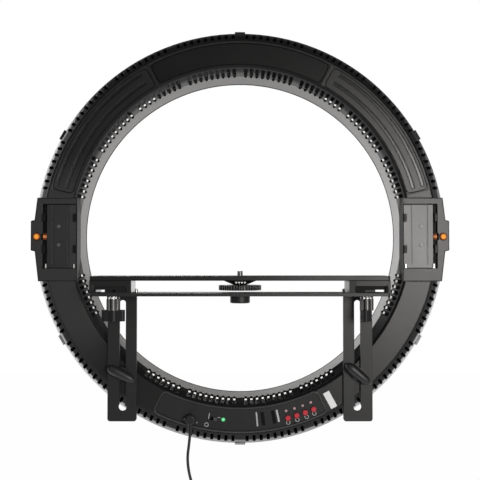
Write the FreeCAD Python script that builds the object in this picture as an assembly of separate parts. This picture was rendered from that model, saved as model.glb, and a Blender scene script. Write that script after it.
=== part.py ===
import FreeCAD
import Part
import math
import os

V = FreeCAD.Vector

# An LED ring light seen from behind, on its camera bracket.
# Millimetres. The origin is the mouth of the stand socket, +Z is up, and the light shines towards +Y.
# Depths are measured from the ring's flat back face, towards the light side.

# The ring: from the hole outwards its back has an inner slope, a flat face, an outer slope and the front frame
ring_z = 72.0
back_y = 25.0
ring_depth = 65.0
hole_r = 179.4
inner_slope = 7.9
back_width = 26.7
outer_slope = 22.0
frame_flare = 3.5
wall = 2.5
edge_bevel = 2.0
shoulder_depth = 21.0
slope_depth = 50.0

# Vent slots
vent_pitch = 2.0
vent_group = 20.0
vents_each_side = 4
inner_vent_width = 4.0
outer_vent_width = 3.4
vent_over = 3.0
outer_vent_shift = 2.0
inner_vent_near = 5.0
inner_vent_far = 18.5
outer_vent_near = 9.0
outer_vent_far = 41.0
vent_free_angle = 13.5
arm_free_angles = (119.0, 145.0)

# Plain plate at the top, control panel at the bottom, grooved panels between them
plate_inner_edge = 0.7
plate_outer_edge = 2.0
plate_sink = 0.8
plate_thick = 2.5
name_plate_thick = 0.8
top_half_angle = 28.0
control_half_angle = 26.0
groove_panel_angles = (13.8, 61.0)
groove_panel_sink = 0.5
groove_angles = (15.2, 58.5)
groove_places = (8.5, 19.3)
groove_width = 3.3
groove_depth = 1.4
post_r = 2.5
post_places = ((4.0, 248.0), (20.0, 248.0), (4.0, 292.3), (21.0, 282.6))

# Light side
diffuser_wall = 2.5
diffuser_thick = 3.0
frame_lip_thick = 2.0
frame_lip = 4.5
frame_wall = 2.5
clip_angles = (30.0, 90.0, 150.0, 210.0, 270.0, 330.0)
clip_length = 12.0
clip_proud = 2.0
clip_from_housing = 1.0
clip_corner = 1.5
board_depth = 42.0
board_thick = 1.6
spreader_thick = 3.0
board_inner_gap = 3.1
board_outer_gap = 5.5
led_size = 5.0
led_height = 1.6
led_margin = 5.0
led_row_count = 4
leds_in_row = 64
housing_screw_angles = (35.0, 57.0, 80.0, 100.0, 123.0, 145.0, 200.0, 218.0, 322.0, 340.0)
housing_screw_r = 1.5
housing_screw_head_r = 2.7
housing_screw_head = 1.8
housing_screw_length = 8.0
boss_hole_length = 10.0
boss_r = 4.0

# Controls: places are (from the panel's outer edge, angle)
button_edge = 7.2
button_r = 3.3
button_gap = 0.15
button_proud = 1.8
button_round = 0.5
button_travel = 0.9
stem_gap = 0.3
button_first_angle = 284.75
button_pitch = 2.75
button_count = 4
indicator_edge = 15.2
indicator_size_r = 1.4
indicator_proud = 0.3
power_led_r = 2.3
power_led_proud = 0.6
power_led_at = (11.5, 264.8)
switch_at = (11.0, 262.3)
switch_cap = (3.8, 3.6)
switch_proud = 1.2
switch_travel = 3.8
switch_gap = 0.15
switch_body = (6.5, 11.5)
window_size = (14.2, 3.9)
window_at = ((11.6, 277.1), (11.6, 280.5))
jack_at = (6.6, 254.8)
jack_r = 5.6
jack_bore_r = 2.8
jack_proud = 1.2
jack_floor = 2.0
driver_depth = 14.0
driver_thick = 1.6
driver_edge = 1.0
driver_half_angle = 24.0
tact_height = 3.8
tact_size = 6.0
capacitor_angles = (250.0, 254.0, 258.0)
capacitor_r = 5.0
capacitor_height = 13.0
choke_angles = (264.0, 270.0)
choke_size = 13.0
choke_height = 9.0
chip_angles = (277.0, 281.0, 285.0, 289.0)
chip_size = (10.0, 8.0)
chip_height = 2.2

# Battery bays, on the right; the left ones are mirror images. X is measured from the bay's inner side
bay_overhang = 1.7
bay_outline = ((36.6, 41.5), (43.7, 41.5), (46.6, 17.3), (50.7, 16.1), (50.7, -16.0),
               (46.3, -17.2), (42.5, -49.8), (36.6, -49.8))
bay_depth = 20.0
bay_face = 6.0
button_floor = 14.0
bay_wall = 2.4
battery_plate_x = (0.7, 37.9)
battery_plate_z = (-35.8, 34.9)
battery_plate_sink = 1.0
battery_plate_thick = 3.0
plate_channel_width = 4.7
plate_channel_depth = 2.0
hook_z = (19.7, -14.6)
hook_length = 8.6
hook_height = 3.4
hook_thick = 2.2
hook_reach = 1.2
hook_lip = 1.2
key_x = 20.3
key_z = (10.2, -10.0)
key_r = 1.8
key_proud = 1.0
rib_x = (26.9, 9.5)
rib_width = 1.6
rib_depth = 0.8
rib_ends = (5.0, 2.0)
contact_x = (34.0, 3.2)
contact_z = -33.0
contact_size = (1.8, 5.4)
contact_proud = 1.6
release_x = 44.1
release_z = -1.0
release_r = 3.8
release_travel = 2.0
release_proud = 1.8
release_gap = 0.15
release_round = 0.8
latch_x = 35.3
latch_size = (3.6, 7.0)
latch_travel = 2.0
latch_proud = 1.6
latch_gap = 0.2
latch_chamfer = 1.0
latch_play = 0.5
spring_wire = 0.6
spring_mean_r = 2.6
spring_turns = 4
spring_closed = 3.8
spring_gap = 0.05

# Bracket
rail_half = 156.0
rail_width = 40.0
rail_corner = 3.0
boss_height = 7.8
socket_r = 3.97
socket_boss_r = 10.5
socket_neck_r = 7.5
socket_chamfer = 0.8
socket_length = 9.4
stand_rail_thick = 3.3
camera_rail_thick = 4.8
rail_gap = 12.9
end_bracket_length = 42.9
bar_width = 6.0
bracket_plate = 2.5
bracket_window_z = (1.2, 6.8)
bracket_window_end = 4.5
rail_screw_r = 2.0
rail_screw_head_r = 3.6
rail_screw_head = 2.0
rail_screw_grip = 5.0
rail_screw_end = 0.2
rail_screw_y = 13.0
stop_pin_gap = 3.6
stop_pin_r = 1.45
stop_pin_height = 3.4

# Arms: the clamp knobs' studs stand in from the rails' ends, and each arm's slot stands in from them
knob_from_end = 22.0
slot_from_knob = 6.8
arm_inner_edge = 15.2
arm_width = 31.5
arm_upper_width = 21.0
arm_thick = 3.0
arm_gap = 0.3
arm_below_lever = 52.0
arm_notch_z = -19.0
arm_corner = 3.0
foot_front_y = -11.0
foot_half = 7.5
arm_slot_width = 6.6
arm_slot_top_z = 2.0
keyhole_below_lever = 36.5
keyhole_r = 4.3
knob_travel = 7.0
stud_r = 3.0
stud_play = 0.3
turn_play = 0.05
nut_size = 10.0
nut_height = 5.0
stud_end = 1.5

# Knobs
sleeve_r = 7.0
sleeve_height = 11.9
sleeve_flutes = 12
sleeve_flute_r = 1.0
crown_height = 3.3
crown_r = 6.8
crown_wall = 1.6
crown_opening = 8.8
wing_length = 24.8
wing_height = 11.6
wing_thick = 6.0
knob_turns = (0.0, 75.0)
clamp_from_shoulder = 8.6
lever_length = 33.0
lever_thick = 10.5
lever_height = 9.0
lever_hub_r = 7.0
lever_hub = 3.5
lever_round = 1.6
lever_bore = 4.0
lever_tilts = (-27.0, -40.0)
insert_r = 5.0
insert_length = 12.0
camera_knob_r = 22.5
camera_knob_height = 5.2
camera_knob_z = 2.6
camera_knob_flutes = 48
camera_knob_flute_r = 1.1
camera_screw_r = 3.175
camera_shank_r = 3.0
camera_screw_proud = 5.0
camera_slot_width = 10.0
camera_travel = 50.0
shoe_half = 7.0
shoe_gap = 0.2
collar_top_r = 17.5
collar_low_r = 7.0

# Power lead: the points of its route are chosen by hand, from the middle of the power socket
cord_d = 3.0
plug_r = 5.2
plug_length = 10.5
plug_round = 1.2
plug_pin_length = 9.0
plug_play = 0.1
relief_r0 = 2.8
relief_r1 = 1.9
cord_route = (
    (0.0, -6.5, -16.0),
    (-1.0, -6.5, -26.8),
    (-2.8, -6.7, -39.8),
    (-1.6, -7.0, -54.8),
    (3.0, -7.5, -71.3),
    (5.6, -8.0, -86.3),
    (5.6, -8.0, -99.8),
)
coil_layers = 4
coil_turns_in_layer = 3
coil_pitch = 3.5
coil_mid_r = 16.5
tie_width = 7.0
tie_thick = 1.2
tie_gap = 0.5
connector_relief = 12.0
connector_r = 4.8
connector_length = 26.0
connector_tip_r = 2.75
connector_tip = 9.5
connector_tip_wall = 1.0

# Places worked out from the sizes above
back_inner_r = hole_r + inner_slope
back_outer_r = back_inner_r + back_width
slope_outer_r = back_outer_r + outer_slope
outer_r = slope_outer_r + frame_flare
frame_inner_r = slope_outer_r - frame_wall
frame_lip_r = frame_inner_r - frame_lip
board_r0 = hole_r + diffuser_wall + board_inner_gap
board_r1 = frame_inner_r - board_outer_gap
led_row_pitch = (board_r1 - board_r0 - 2 * led_margin) / (led_row_count - 1)
housing_screw_ring_r = board_r0 + led_margin + 1.5 * led_row_pitch
plate_r0 = back_inner_r + plate_inner_edge
plate_r1 = back_outer_r - plate_outer_edge
plate_mid_r = (plate_r0 + plate_r1) / 2
control_r = plate_r1 - button_edge
indicator_r = plate_r1 - indicator_edge
button_stem_end = driver_depth - tact_height - button_travel - stem_gap
bay_inner_x = hole_r - bay_overhang
bay_top = bay_outline[0][1]
bay_bottom = bay_outline[-1][1]
release_inner = button_floor - release_travel - spring_closed
bar_inner_x = rail_half - end_bracket_length
stop_pin_x = bar_inner_x - stop_pin_gap
knob_x = rail_half - knob_from_end
arm_slot_x = knob_x - slot_from_knob
arm_x0 = arm_slot_x - arm_inner_edge
arm_x1 = arm_x0 + arm_width
arm_upper_x1 = arm_x0 + arm_upper_width
lever_z = ring_z - math.sqrt((back_inner_r + clamp_from_shoulder) ** 2 - arm_slot_x ** 2)
keyhole_z = lever_z - keyhole_below_lever
arm_bottom_z = lever_z - arm_below_lever
stand_rail_z = boss_height
stand_rail_top = stand_rail_z + stand_rail_thick
camera_rail_z = stand_rail_top + rail_gap
camera_rail_top = camera_rail_z + camera_rail_thick
arm_back_y = back_y - arm_gap
arm_front_y = arm_back_y - arm_thick
foot_z = stand_rail_top + arm_gap
foot_top_z = foot_z + arm_thick
nut_z = foot_top_z + arm_gap
knob_top_z = stand_rail_z - arm_gap
sleeve_top_z = knob_top_z - crown_height
sleeve_low_z = sleeve_top_z - sleeve_height
panel_back = plate_sink + plate_thick
name_recess = plate_sink + name_plate_thick


def save(name, shape):
    """Write one named piece."""
    shape.exportStep("parts/" + name + ".step")


def ring_point(radius, angle, depth):
    """A point round the ring's axis, at a depth from the back face."""
    turn = math.radians(angle)
    return V(radius * math.cos(turn), back_y + depth, ring_z + radius * math.sin(turn))


def ring_turned(outline):
    """A closed outline of (radius, depth) points, turned round the ring's axis."""
    points = [V(radius, back_y + depth, ring_z) for radius, depth in outline]
    face = Part.Face(Part.makePolygon(points + points[:1]))
    return face.revolve(V(0, 0, ring_z), V(0, 1, 0), 360)


def ring_sector(radius0, radius1, angle0, angle1, depth0, depth1):
    """A piece of a flat ring between two radii, two angles and two depths."""
    middle = (angle0 + angle1) / 2
    a = ring_point(radius0, angle0, depth0)
    b = ring_point(radius1, angle0, depth0)
    c = ring_point(radius1, angle1, depth0)
    d = ring_point(radius0, angle1, depth0)
    edges = [
        Part.LineSegment(a, b).toShape(),
        Part.Arc(b, ring_point(radius1, middle, depth0), c).toShape(),
        Part.LineSegment(c, d).toShape(),
        Part.Arc(d, ring_point(radius0, middle, depth0), a).toShape(),
    ]
    return Part.Face(Part.Wire(edges)).extrude(V(0, depth1 - depth0, 0))


def ring_box(radius, angle, depth0, depth1, radial, across):
    """A box at a place on the ring, turned with it."""
    box = Part.makeBox(radial, depth1 - depth0, across, V(radius - radial / 2, back_y + depth0, -across / 2))
    box.rotate(V(0, 0, 0), V(0, 1, 0), -angle)
    box.translate(V(0, 0, ring_z))
    return box


def ring_disc(radius, angle, depth0, depth1, size_r):
    """A round pin at a place on the ring, along its axis."""
    return Part.makeCylinder(size_r, depth1 - depth0, ring_point(radius, angle, depth0), V(0, 1, 0))


def panel_place(place):
    """A control's radius and angle, from its place in from the panel's outer edge."""
    return plate_r1 - place[0], place[1]


def bay_point(x, z, depth):
    """A point of a battery bay: X from the bay's inner side, Z from the ring's axis."""
    return V(bay_inner_x + x, back_y + depth, ring_z + z)


def bay_box(x0, x1, z0, z1, depth0, depth1):
    return Part.makeBox(x1 - x0, depth1 - depth0, z1 - z0, bay_point(x0, z0, depth0))


def bay_pin(x, z, depth0, depth1, size_r):
    return Part.makeCylinder(size_r, depth1 - depth0, bay_point(x, z, depth0), V(0, 1, 0))


def upright(x, y, z0, z1, size_r):
    """A round pin along Z."""
    return Part.makeCylinder(size_r, z1 - z0, V(x, y, z0), V(0, 0, 1))


def slab(x0, x1, y0, y1, z0, z1):
    return Part.makeBox(x1 - x0, y1 - y0, z1 - z0, V(x0, y0, z0))


def slot_through(x0, x1, width, y, z0, z1):
    """A slot along X with round ends, cut along Z."""
    middle = slab(x0, x1, y - width / 2, y + width / 2, z0, z1)
    return middle.fuse([upright(x0, y, z0, z1, width / 2), upright(x1, y, z0, z1, width / 2)])


def round_corners(shape, size, direction):
    """Round the edges of a plate that run along one direction."""
    edges = [e for e in shape.Edges if e.Curve.TypeId == "Part::GeomLine"
             and abs(abs(e.tangentAt(e.FirstParameter).dot(direction)) - 1) < 1e-6]
    return shape.makeFillet(size, edges)


def on_side(shape, side):
    """The right-hand piece, or its mirror image for the left."""
    return shape if side == "right" else shape.mirror(V(0, 0, 0), V(1, 0, 0))


def bay_prism(margin, depth0, depth1):
    """The bay's outline drawn in by a margin, as a block."""
    middle_x = bay_outline[3][0] / 2
    points = [(0, bay_top)] + list(bay_outline) + [(0, bay_bottom)]
    inset = []
    for x, z in points:
        x_in = x - margin if x > middle_x else x + margin
        z_in = z - margin if z > 0 else z + margin
        inset.append(bay_point(x_in, z_in, depth0))
    return Part.Face(Part.makePolygon(inset + inset[:1])).extrude(V(0, depth1 - depth0, 0))


def vent_angles():
    """The slots stand in groups, and leave the battery bays free."""
    angles = []
    for group in range(int(360 / vent_group)):
        for step in range(-vents_each_side, vents_each_side + 1):
            angle = group * vent_group + step * vent_pitch
            from_bay = min(abs((angle - side + 180) % 360 - 180) for side in (0, 180))
            if from_bay > vent_free_angle:
                angles.append(angle)
    return angles


# Ring housing and light side
def rear_housing():
    shoulder_r = back_inner_r - edge_bevel
    shell = ring_turned([
        (hole_r, shoulder_depth),
        (shoulder_r, edge_bevel),
        (back_inner_r, 0),
        (back_outer_r, 0),
        (back_outer_r + edge_bevel, edge_bevel),
        (slope_outer_r, slope_depth),
        (slope_outer_r - wall, slope_depth),
        (back_outer_r - edge_bevel / 2, wall),
        (back_inner_r + edge_bevel / 2, wall),
        (hole_r + wall, shoulder_depth),
    ])
    bosses = [ring_disc(housing_screw_ring_r, angle, wall, board_depth - spreader_thick, boss_r)
              for angle in housing_screw_angles]
    bosses += [Part.makeCylinder(insert_r + wall, insert_length - wall, V(side * arm_slot_x, back_y + wall, lever_z),
                                 V(0, 1, 0)) for side in (-1, 1)]
    shell = shell.fuse(bosses)
    cuts = [ring_sector(plate_r0, plate_r1, 90 - top_half_angle, 90 + top_half_angle, -1, name_recess),
            ring_sector(plate_r0, plate_r1, 270 - control_half_angle, 270 + control_half_angle, -1, wall + 1)]
    for side in ("left", "right"):
        cuts.append(on_side(bay_prism(0, -1, bay_depth), side))
        low, high = groove_panel_angles
        cuts.append(on_side(ring_sector(plate_r0, plate_r1, low, high, -1, groove_panel_sink), side))
        for place in groove_places:
            groove_r = plate_r0 + place
            cuts.append(on_side(ring_sector(groove_r - groove_width / 2, groove_r + groove_width / 2, groove_angles[0],
                                            groove_angles[1], -1, groove_depth), side))
    cuts += [Part.makeCylinder(insert_r, insert_length + 1, V(side * arm_slot_x, back_y - 1, lever_z), V(0, 1, 0))
             for side in (-1, 1)]
    boss_end = board_depth - spreader_thick
    cuts += [ring_disc(housing_screw_ring_r, angle, boss_end - boss_hole_length, board_depth, housing_screw_r)
             for angle in housing_screw_angles]
    for angle in vent_angles():
        from_top = abs((angle + 90) % 360 - 180)
        if not arm_free_angles[0] < from_top < arm_free_angles[1]:
            cuts.append(ring_box((hole_r + back_inner_r) / 2, angle, inner_vent_near, inner_vent_far,
                                 back_inner_r - hole_r + 2 * vent_over, inner_vent_width))
        cuts.append(ring_box((back_outer_r + slope_outer_r) / 2 + outer_vent_shift, angle, outer_vent_near,
                             outer_vent_far, slope_outer_r - back_outer_r + 2 * vent_over, outer_vent_width))
    return shell.cut(cuts)


def front_frame():
    return ring_turned([
        (slope_outer_r, slope_depth),
        (outer_r, ring_depth),
        (frame_lip_r, ring_depth),
        (frame_lip_r, ring_depth - frame_lip_thick),
        (frame_inner_r, ring_depth - frame_lip_thick),
        (frame_inner_r, slope_depth),
    ])


def front_diffuser():
    far = ring_depth - frame_lip_thick
    return ring_turned([
        (hole_r + diffuser_wall, far - diffuser_thick),
        (frame_inner_r, far - diffuser_thick),
        (frame_inner_r, far),
        (hole_r + diffuser_wall, far),
    ])


def inner_wall():
    return ring_turned([
        (hole_r, shoulder_depth),
        (hole_r + diffuser_wall, shoulder_depth),
        (hole_r + diffuser_wall, ring_depth),
        (hole_r, ring_depth),
    ])


def rim_clips():
    clips = []
    start = slope_depth + clip_from_housing
    start_r = slope_outer_r + frame_flare * clip_from_housing / (ring_depth - slope_depth)
    band = ring_turned([
        (start_r, start),
        (start_r + clip_proud, start),
        (outer_r + clip_proud, ring_depth),
        (outer_r, ring_depth),
    ])
    half = math.degrees(clip_length / 2 / outer_r)
    for angle in clip_angles:
        sector = ring_sector(start_r - clip_corner - clip_proud, outer_r + clip_proud, angle - half, angle + half,
                             start, ring_depth)
        clips.append(band.common(round_corners(sector, clip_corner, V(0, 1, 0))))
    return Part.makeCompound(clips)


def heat_spreader():
    plate = ring_turned([
        (board_r0, board_depth - spreader_thick),
        (board_r1, board_depth - spreader_thick),
        (board_r1, board_depth),
        (board_r0, board_depth),
    ])
    return plate.cut([ring_disc(housing_screw_ring_r, angle, 0, ring_depth, housing_screw_r)
                      for angle in housing_screw_angles])


def led_board():
    plate = ring_turned([
        (board_r0, board_depth),
        (board_r1, board_depth),
        (board_r1, board_depth + board_thick),
        (board_r0, board_depth + board_thick),
    ])
    return plate.cut([ring_disc(housing_screw_ring_r, angle, 0, ring_depth, housing_screw_r)
                      for angle in housing_screw_angles])


def leds(rows):
    lamps = []
    face = board_depth + board_thick
    for row in rows:
        for place in range(leds_in_row):
            angle = (place + (row % 2) / 2) * 360 / leds_in_row
            lamps.append(ring_box(board_r0 + led_margin + row * led_row_pitch, angle, face, face + led_height,
                                  led_size, led_size))
    return Part.makeCompound(lamps)


def housing_screws():
    screws = []
    face = board_depth + board_thick
    for angle in housing_screw_angles:
        shank = ring_disc(housing_screw_ring_r, angle, board_depth - spreader_thick - housing_screw_length, face,
                          housing_screw_r)
        head = ring_disc(housing_screw_ring_r, angle, face, face + housing_screw_head, housing_screw_head_r)
        screws.append(shank.fuse(head).removeSplitter())
    return Part.makeCompound(screws)


def clamp_inserts():
    inserts = []
    for side in (-1, 1):
        at = V(side * arm_slot_x, back_y, lever_z)
        body = Part.makeCylinder(insert_r, insert_length, at, V(0, 1, 0))
        bore = Part.makeCylinder(stud_r + turn_play, insert_length + 2, at - V(0, 1, 0), V(0, 1, 0))
        inserts.append(body.cut(bore))
    return Part.makeCompound(inserts)


def top_plate():
    return ring_sector(plate_r0, plate_r1, 90 - top_half_angle, 90 + top_half_angle, plate_sink, name_recess)


# Controls
def control_angles():
    return [button_first_angle + step * button_pitch for step in range(button_count)]


def switch_slot_place():
    """The middle of the switch's slot: the cap rests at one end of it."""
    radius, angle = panel_place(switch_at)
    return radius, angle - math.degrees(switch_travel / 2 / radius)


def control_panel():
    panel = ring_sector(plate_r0, plate_r1, 270 - control_half_angle, 270 + control_half_angle, plate_sink, panel_back)
    posts = [ring_disc(plate_r0 + place, angle, panel_back, driver_depth, post_r) for place, angle in post_places]
    panel = panel.fuse(posts)
    through = panel_back + 1
    cuts = [ring_disc(control_r, angle, -1, through, button_r + button_gap) for angle in control_angles()]
    cuts += [ring_disc(indicator_r, angle, -1, through, indicator_size_r) for angle in control_angles()]
    cuts.append(ring_disc(*panel_place(power_led_at), -1, through, power_led_r))
    cuts.append(ring_box(*switch_slot_place(), -1, through, switch_cap[1] + 2 * switch_gap,
                         switch_cap[0] + switch_travel + 2 * switch_gap))
    cuts += [ring_box(*panel_place(place), -1, through, window_size[0], window_size[1]) for place in window_at]
    cuts.append(ring_disc(*panel_place(jack_at), -1, through, jack_r))
    return panel.cut(cuts)


def red_button(number):
    angle = control_angles()[number]
    cap = ring_disc(control_r, angle, plate_sink - button_proud, button_stem_end, button_r)
    rim = [edge for edge in cap.Edges if edge.Length > 1 and edge.BoundBox.YMax < back_y + plate_sink]
    return cap.makeFillet(button_round, rim)


def indicator_leds():
    return Part.makeCompound([ring_disc(indicator_r, angle, plate_sink - indicator_proud, driver_depth,
                                        indicator_size_r) for angle in control_angles()])


def power_led():
    return ring_disc(*panel_place(power_led_at), plate_sink - power_led_proud, driver_depth, power_led_r)


def power_switch():
    return ring_box(*panel_place(switch_at), plate_sink - switch_proud, button_stem_end, switch_cap[1], switch_cap[0])


def display_windows():
    return Part.makeCompound([ring_box(*panel_place(place), plate_sink, driver_depth, window_size[0], window_size[1])
                              for place in window_at])


def dc_jack():
    body = ring_disc(*panel_place(jack_at), plate_sink - jack_proud, driver_depth, jack_r)
    return body.cut(ring_disc(*panel_place(jack_at), plate_sink - jack_proud - 1, driver_depth - jack_floor,
                              jack_bore_r))


def driver_board():
    return ring_sector(plate_r0 + driver_edge, plate_r1 - driver_edge, 270 - driver_half_angle,
                       270 + driver_half_angle, driver_depth, driver_depth + driver_thick)


def driver_parts():
    face = driver_depth + driver_thick
    parts = [ring_box(control_r, angle, driver_depth - tact_height, driver_depth, tact_size, tact_size)
             for angle in control_angles()]
    parts.append(ring_box(*switch_slot_place(), button_stem_end + stem_gap, driver_depth, *switch_body))
    for angle in capacitor_angles:
        parts.append(ring_disc(plate_mid_r, angle, face, face + capacitor_height, capacitor_r))
    for angle in choke_angles:
        parts.append(ring_box(plate_mid_r, angle, face, face + choke_height, choke_size, choke_size))
    for angle in chip_angles:
        parts.append(ring_box(plate_mid_r, angle, face, face + chip_height, *chip_size))
    return Part.makeCompound(parts)


# Battery bays
def battery_bay(side):
    block = bay_prism(0, 0, bay_depth)
    block = block.cut(bay_prism(bay_wall, bay_face, bay_depth + 1))
    guide = bay_pin(release_x, release_z, bay_face, button_floor + 2, release_r + 2)
    block = block.fuse(guide.common(bay_prism(bay_wall / 2, bay_face, bay_depth)))
    sunk = battery_plate_sink + battery_plate_thick
    x0, x1 = battery_plate_x
    z0, z1 = battery_plate_z
    pocket = bay_box(x0, x1, z0, z1, -1, sunk)
    button_hole = bay_pin(release_x, release_z, -1, button_floor, release_r + release_gap)
    latch_hole = bay_box(latch_x - latch_size[0] / 2 - latch_gap, latch_x + latch_size[0] / 2 + latch_travel + latch_gap,
                         release_z - latch_size[1] / 2 - latch_gap, release_z + latch_size[1] / 2 + latch_gap,
                         -1, bay_face + 1)
    return on_side(block.cut([pocket, button_hole, latch_hole]), side)


def battery_plate(side):
    x0, x1 = battery_plate_x
    z0, z1 = battery_plate_z
    top = battery_plate_sink
    floor = top + plate_channel_depth
    plate = bay_box(x0, x1, z0, z1, top, top + battery_plate_thick)
    plate = plate.cut(bay_box(x1 - plate_channel_width, x1, z0, z1, top, floor))
    adds = []
    for z in hook_z:
        for x, inward in ((x0, 1), (x1 - hook_thick, -1)):
            adds.append(bay_box(x, x + hook_thick, z - hook_length / 2, z + hook_length / 2, top - hook_height, floor))
            lip_x = x + hook_thick if inward > 0 else x - hook_reach
            adds.append(bay_box(lip_x, lip_x + hook_reach, z - hook_length / 2, z + hook_length / 2,
                                top - hook_height, top - hook_height + hook_lip))
    for z in key_z:
        adds.append(bay_pin(key_x, z, top - key_proud, top, key_r))
    plate = plate.fuse(adds)
    cuts = []
    for x in rib_x:
        cuts.append(bay_box(x - rib_width / 2, x + rib_width / 2, z0 + rib_ends[0], z1 - rib_ends[1], top - 1,
                            top + rib_depth))
    for x in contact_x:
        cuts.append(bay_box(x - contact_size[0] / 2, x + contact_size[0] / 2, contact_z - contact_size[1] / 2,
                            contact_z + contact_size[1] / 2, top - 1, top + battery_plate_thick))
    cuts.append(bay_box(latch_x - latch_size[0] / 2 - latch_gap, x1 + 1, release_z - latch_size[1] / 2 - latch_gap,
                        release_z + latch_size[1] / 2 + latch_gap, top - 1, top + battery_plate_thick))
    return on_side(plate.cut(cuts), side)


def battery_contacts():
    blades = []
    for side in ("left", "right"):
        for x in contact_x:
            blade = bay_box(x - contact_size[0] / 2, x + contact_size[0] / 2, contact_z - contact_size[1] / 2,
                            contact_z + contact_size[1] / 2, battery_plate_sink - contact_proud,
                            battery_plate_sink + battery_plate_thick)
            blades.append(on_side(blade, side))
    return Part.makeCompound(blades)


def release_button(side):
    cap = bay_pin(release_x, release_z, -release_proud, release_inner, release_r)
    rim = [edge for edge in cap.Edges if edge.Length > 1 and edge.BoundBox.YMax < back_y]
    return on_side(cap.makeFillet(release_round, rim), side)


def latch(side):
    x, half = latch_x, latch_size[0] / 2
    tooth = bay_box(x - half, x + half, release_z - latch_size[1] / 2, release_z + latch_size[1] / 2,
                    battery_plate_sink - latch_proud, bay_face + latch_play)
    slope = [edge for edge in tooth.Edges if edge.BoundBox.YMax < back_y
             and abs(edge.BoundBox.XMax - edge.BoundBox.XMin) < 0.01
             and edge.BoundBox.ZLength > 1]
    return on_side(tooth.makeChamfer(latch_chamfer, slope[:1]), side)


def arc_from(start, tangent, end):
    """The arc that leaves a point along a tangent and ends at another point."""
    chord = end - start
    across = chord - tangent * chord.dot(tangent)
    if across.Length < 1e-7:
        return Part.LineSegment(start, end).toShape()
    across.normalize()
    radius = chord.dot(chord) / (2 * chord.dot(across))
    centre = start + across * radius
    out = (start + end) * 0.5 - centre
    if chord.dot(tangent) < 0:
        out = out * -1
    if out.Length < 1e-7:
        out = V(tangent)
    out.normalize()
    return Part.Arc(start, centre + out * abs(radius), end).toShape()


def two_arcs(start, tangent0, end, tangent1):
    """Two arcs that join smoothly between two points with given tangents."""
    chord = end - start
    both = tangent0 + tangent1
    slack = 2 * (1 - tangent0.dot(tangent1))
    along = chord.dot(both)
    reach = (-along + math.sqrt(along * along + slack * chord.dot(chord))) / slack
    middle = (start + end + (tangent0 - tangent1) * reach) * 0.5
    first = arc_from(start, tangent0, middle)
    second = arc_from(end, tangent1 * -1, middle)
    return [first, second]


def wound_wire(place, turns, steps_in_turn, end_way=None, straight=0.0):
    """A smooth wire through a winding's points. With an end_way it starts and ends straight, along that way."""
    small = 1e-4
    points = []
    for step in range(turns * steps_in_turn + 1):
        t = step / steps_in_turn
        way = place(min(t + small, turns)) - place(max(t - small, 0))
        points.append((place(t), way.normalize()))
    edges = []
    if end_way:
        points[0] = (points[0][0], end_way)
        points[-1] = (points[-1][0], end_way)
        edges.append(Part.LineSegment(points[0][0] - end_way * straight, points[0][0]).toShape())
        edges.append(Part.LineSegment(points[-1][0], points[-1][0] + end_way * straight).toShape())
    for (start, way0), (end, way1) in zip(points, points[1:]):
        edges += two_arcs(start, way0, end, way1)
    return Part.Wire(Part.sortEdges(edges)[0])


def tube_along(wire, start, way, size_r):
    """A round tube along a wire that leaves its start along a way."""
    ring = Part.Wire(Part.makeCircle(size_r, start, way))
    return wire.makePipeShell([ring], True, False)


def release_spring(side):
    low = release_inner + spring_wire / 2 + spring_gap
    rise = (button_floor - spring_gap - spring_wire / 2 - low) / spring_turns

    def place(t):
        turn = 2 * math.pi * t
        return bay_point(release_x + spring_mean_r * math.cos(turn), release_z + spring_mean_r * math.sin(turn),
                         low + rise * t)

    wire = wound_wire(place, spring_turns, 4)
    return on_side(tube_along(wire, place(0), place(1e-4) - place(0), spring_wire / 2), side)


# Bracket
def camera_rail():
    half = rail_width / 2
    rail = round_corners(slab(-rail_half, rail_half, -half, half, camera_rail_z, camera_rail_top), rail_corner, V(0, 0, 1))
    reach = camera_travel + shoe_half + shoe_gap
    cuts = [slot_through(-reach, reach, camera_slot_width, 0, camera_rail_z - 1, camera_rail_top + 1)]
    for x, y in rail_screw_places():
        cuts.append(upright(x, y, camera_rail_z - 1, camera_rail_top + 1, rail_screw_r))
        cuts.append(upright(x, y, camera_rail_top - rail_screw_head, camera_rail_top + 1, rail_screw_head_r))
    return rail.cut(cuts)


def rail_screw_places():
    places = []
    for side in (-1, 1):
        for x in (bar_inner_x + bar_width / 2, rail_half - bar_width / 2):
            for y in (-rail_screw_y, rail_screw_y):
                places.append((side * x, y))
    return places


def stand_rail():
    half = rail_width / 2
    rail = round_corners(slab(-rail_half, rail_half, -half, half, stand_rail_z, stand_rail_top), rail_corner, V(0, 0, 1))
    cuts = []
    for side in (-1, 1):
        cuts.append(slot_through(side * knob_x - knob_travel, side * knob_x + knob_travel, 2 * (stud_r + stud_play), 0,
                                 stand_rail_z - 1, stand_rail_top + 1))
        cuts.append(upright(side * stop_pin_x, 0, stand_rail_z - 1, stand_rail_top + 1, stop_pin_r))
    for x, y in rail_screw_places():
        cuts.append(upright(x, y, stand_rail_z - 1, stand_rail_top + 1, rail_screw_r))
    cuts.append(upright(0, 0, stand_rail_z - 1, stand_rail_top + 1, socket_neck_r))
    return rail.cut(cuts)


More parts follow.
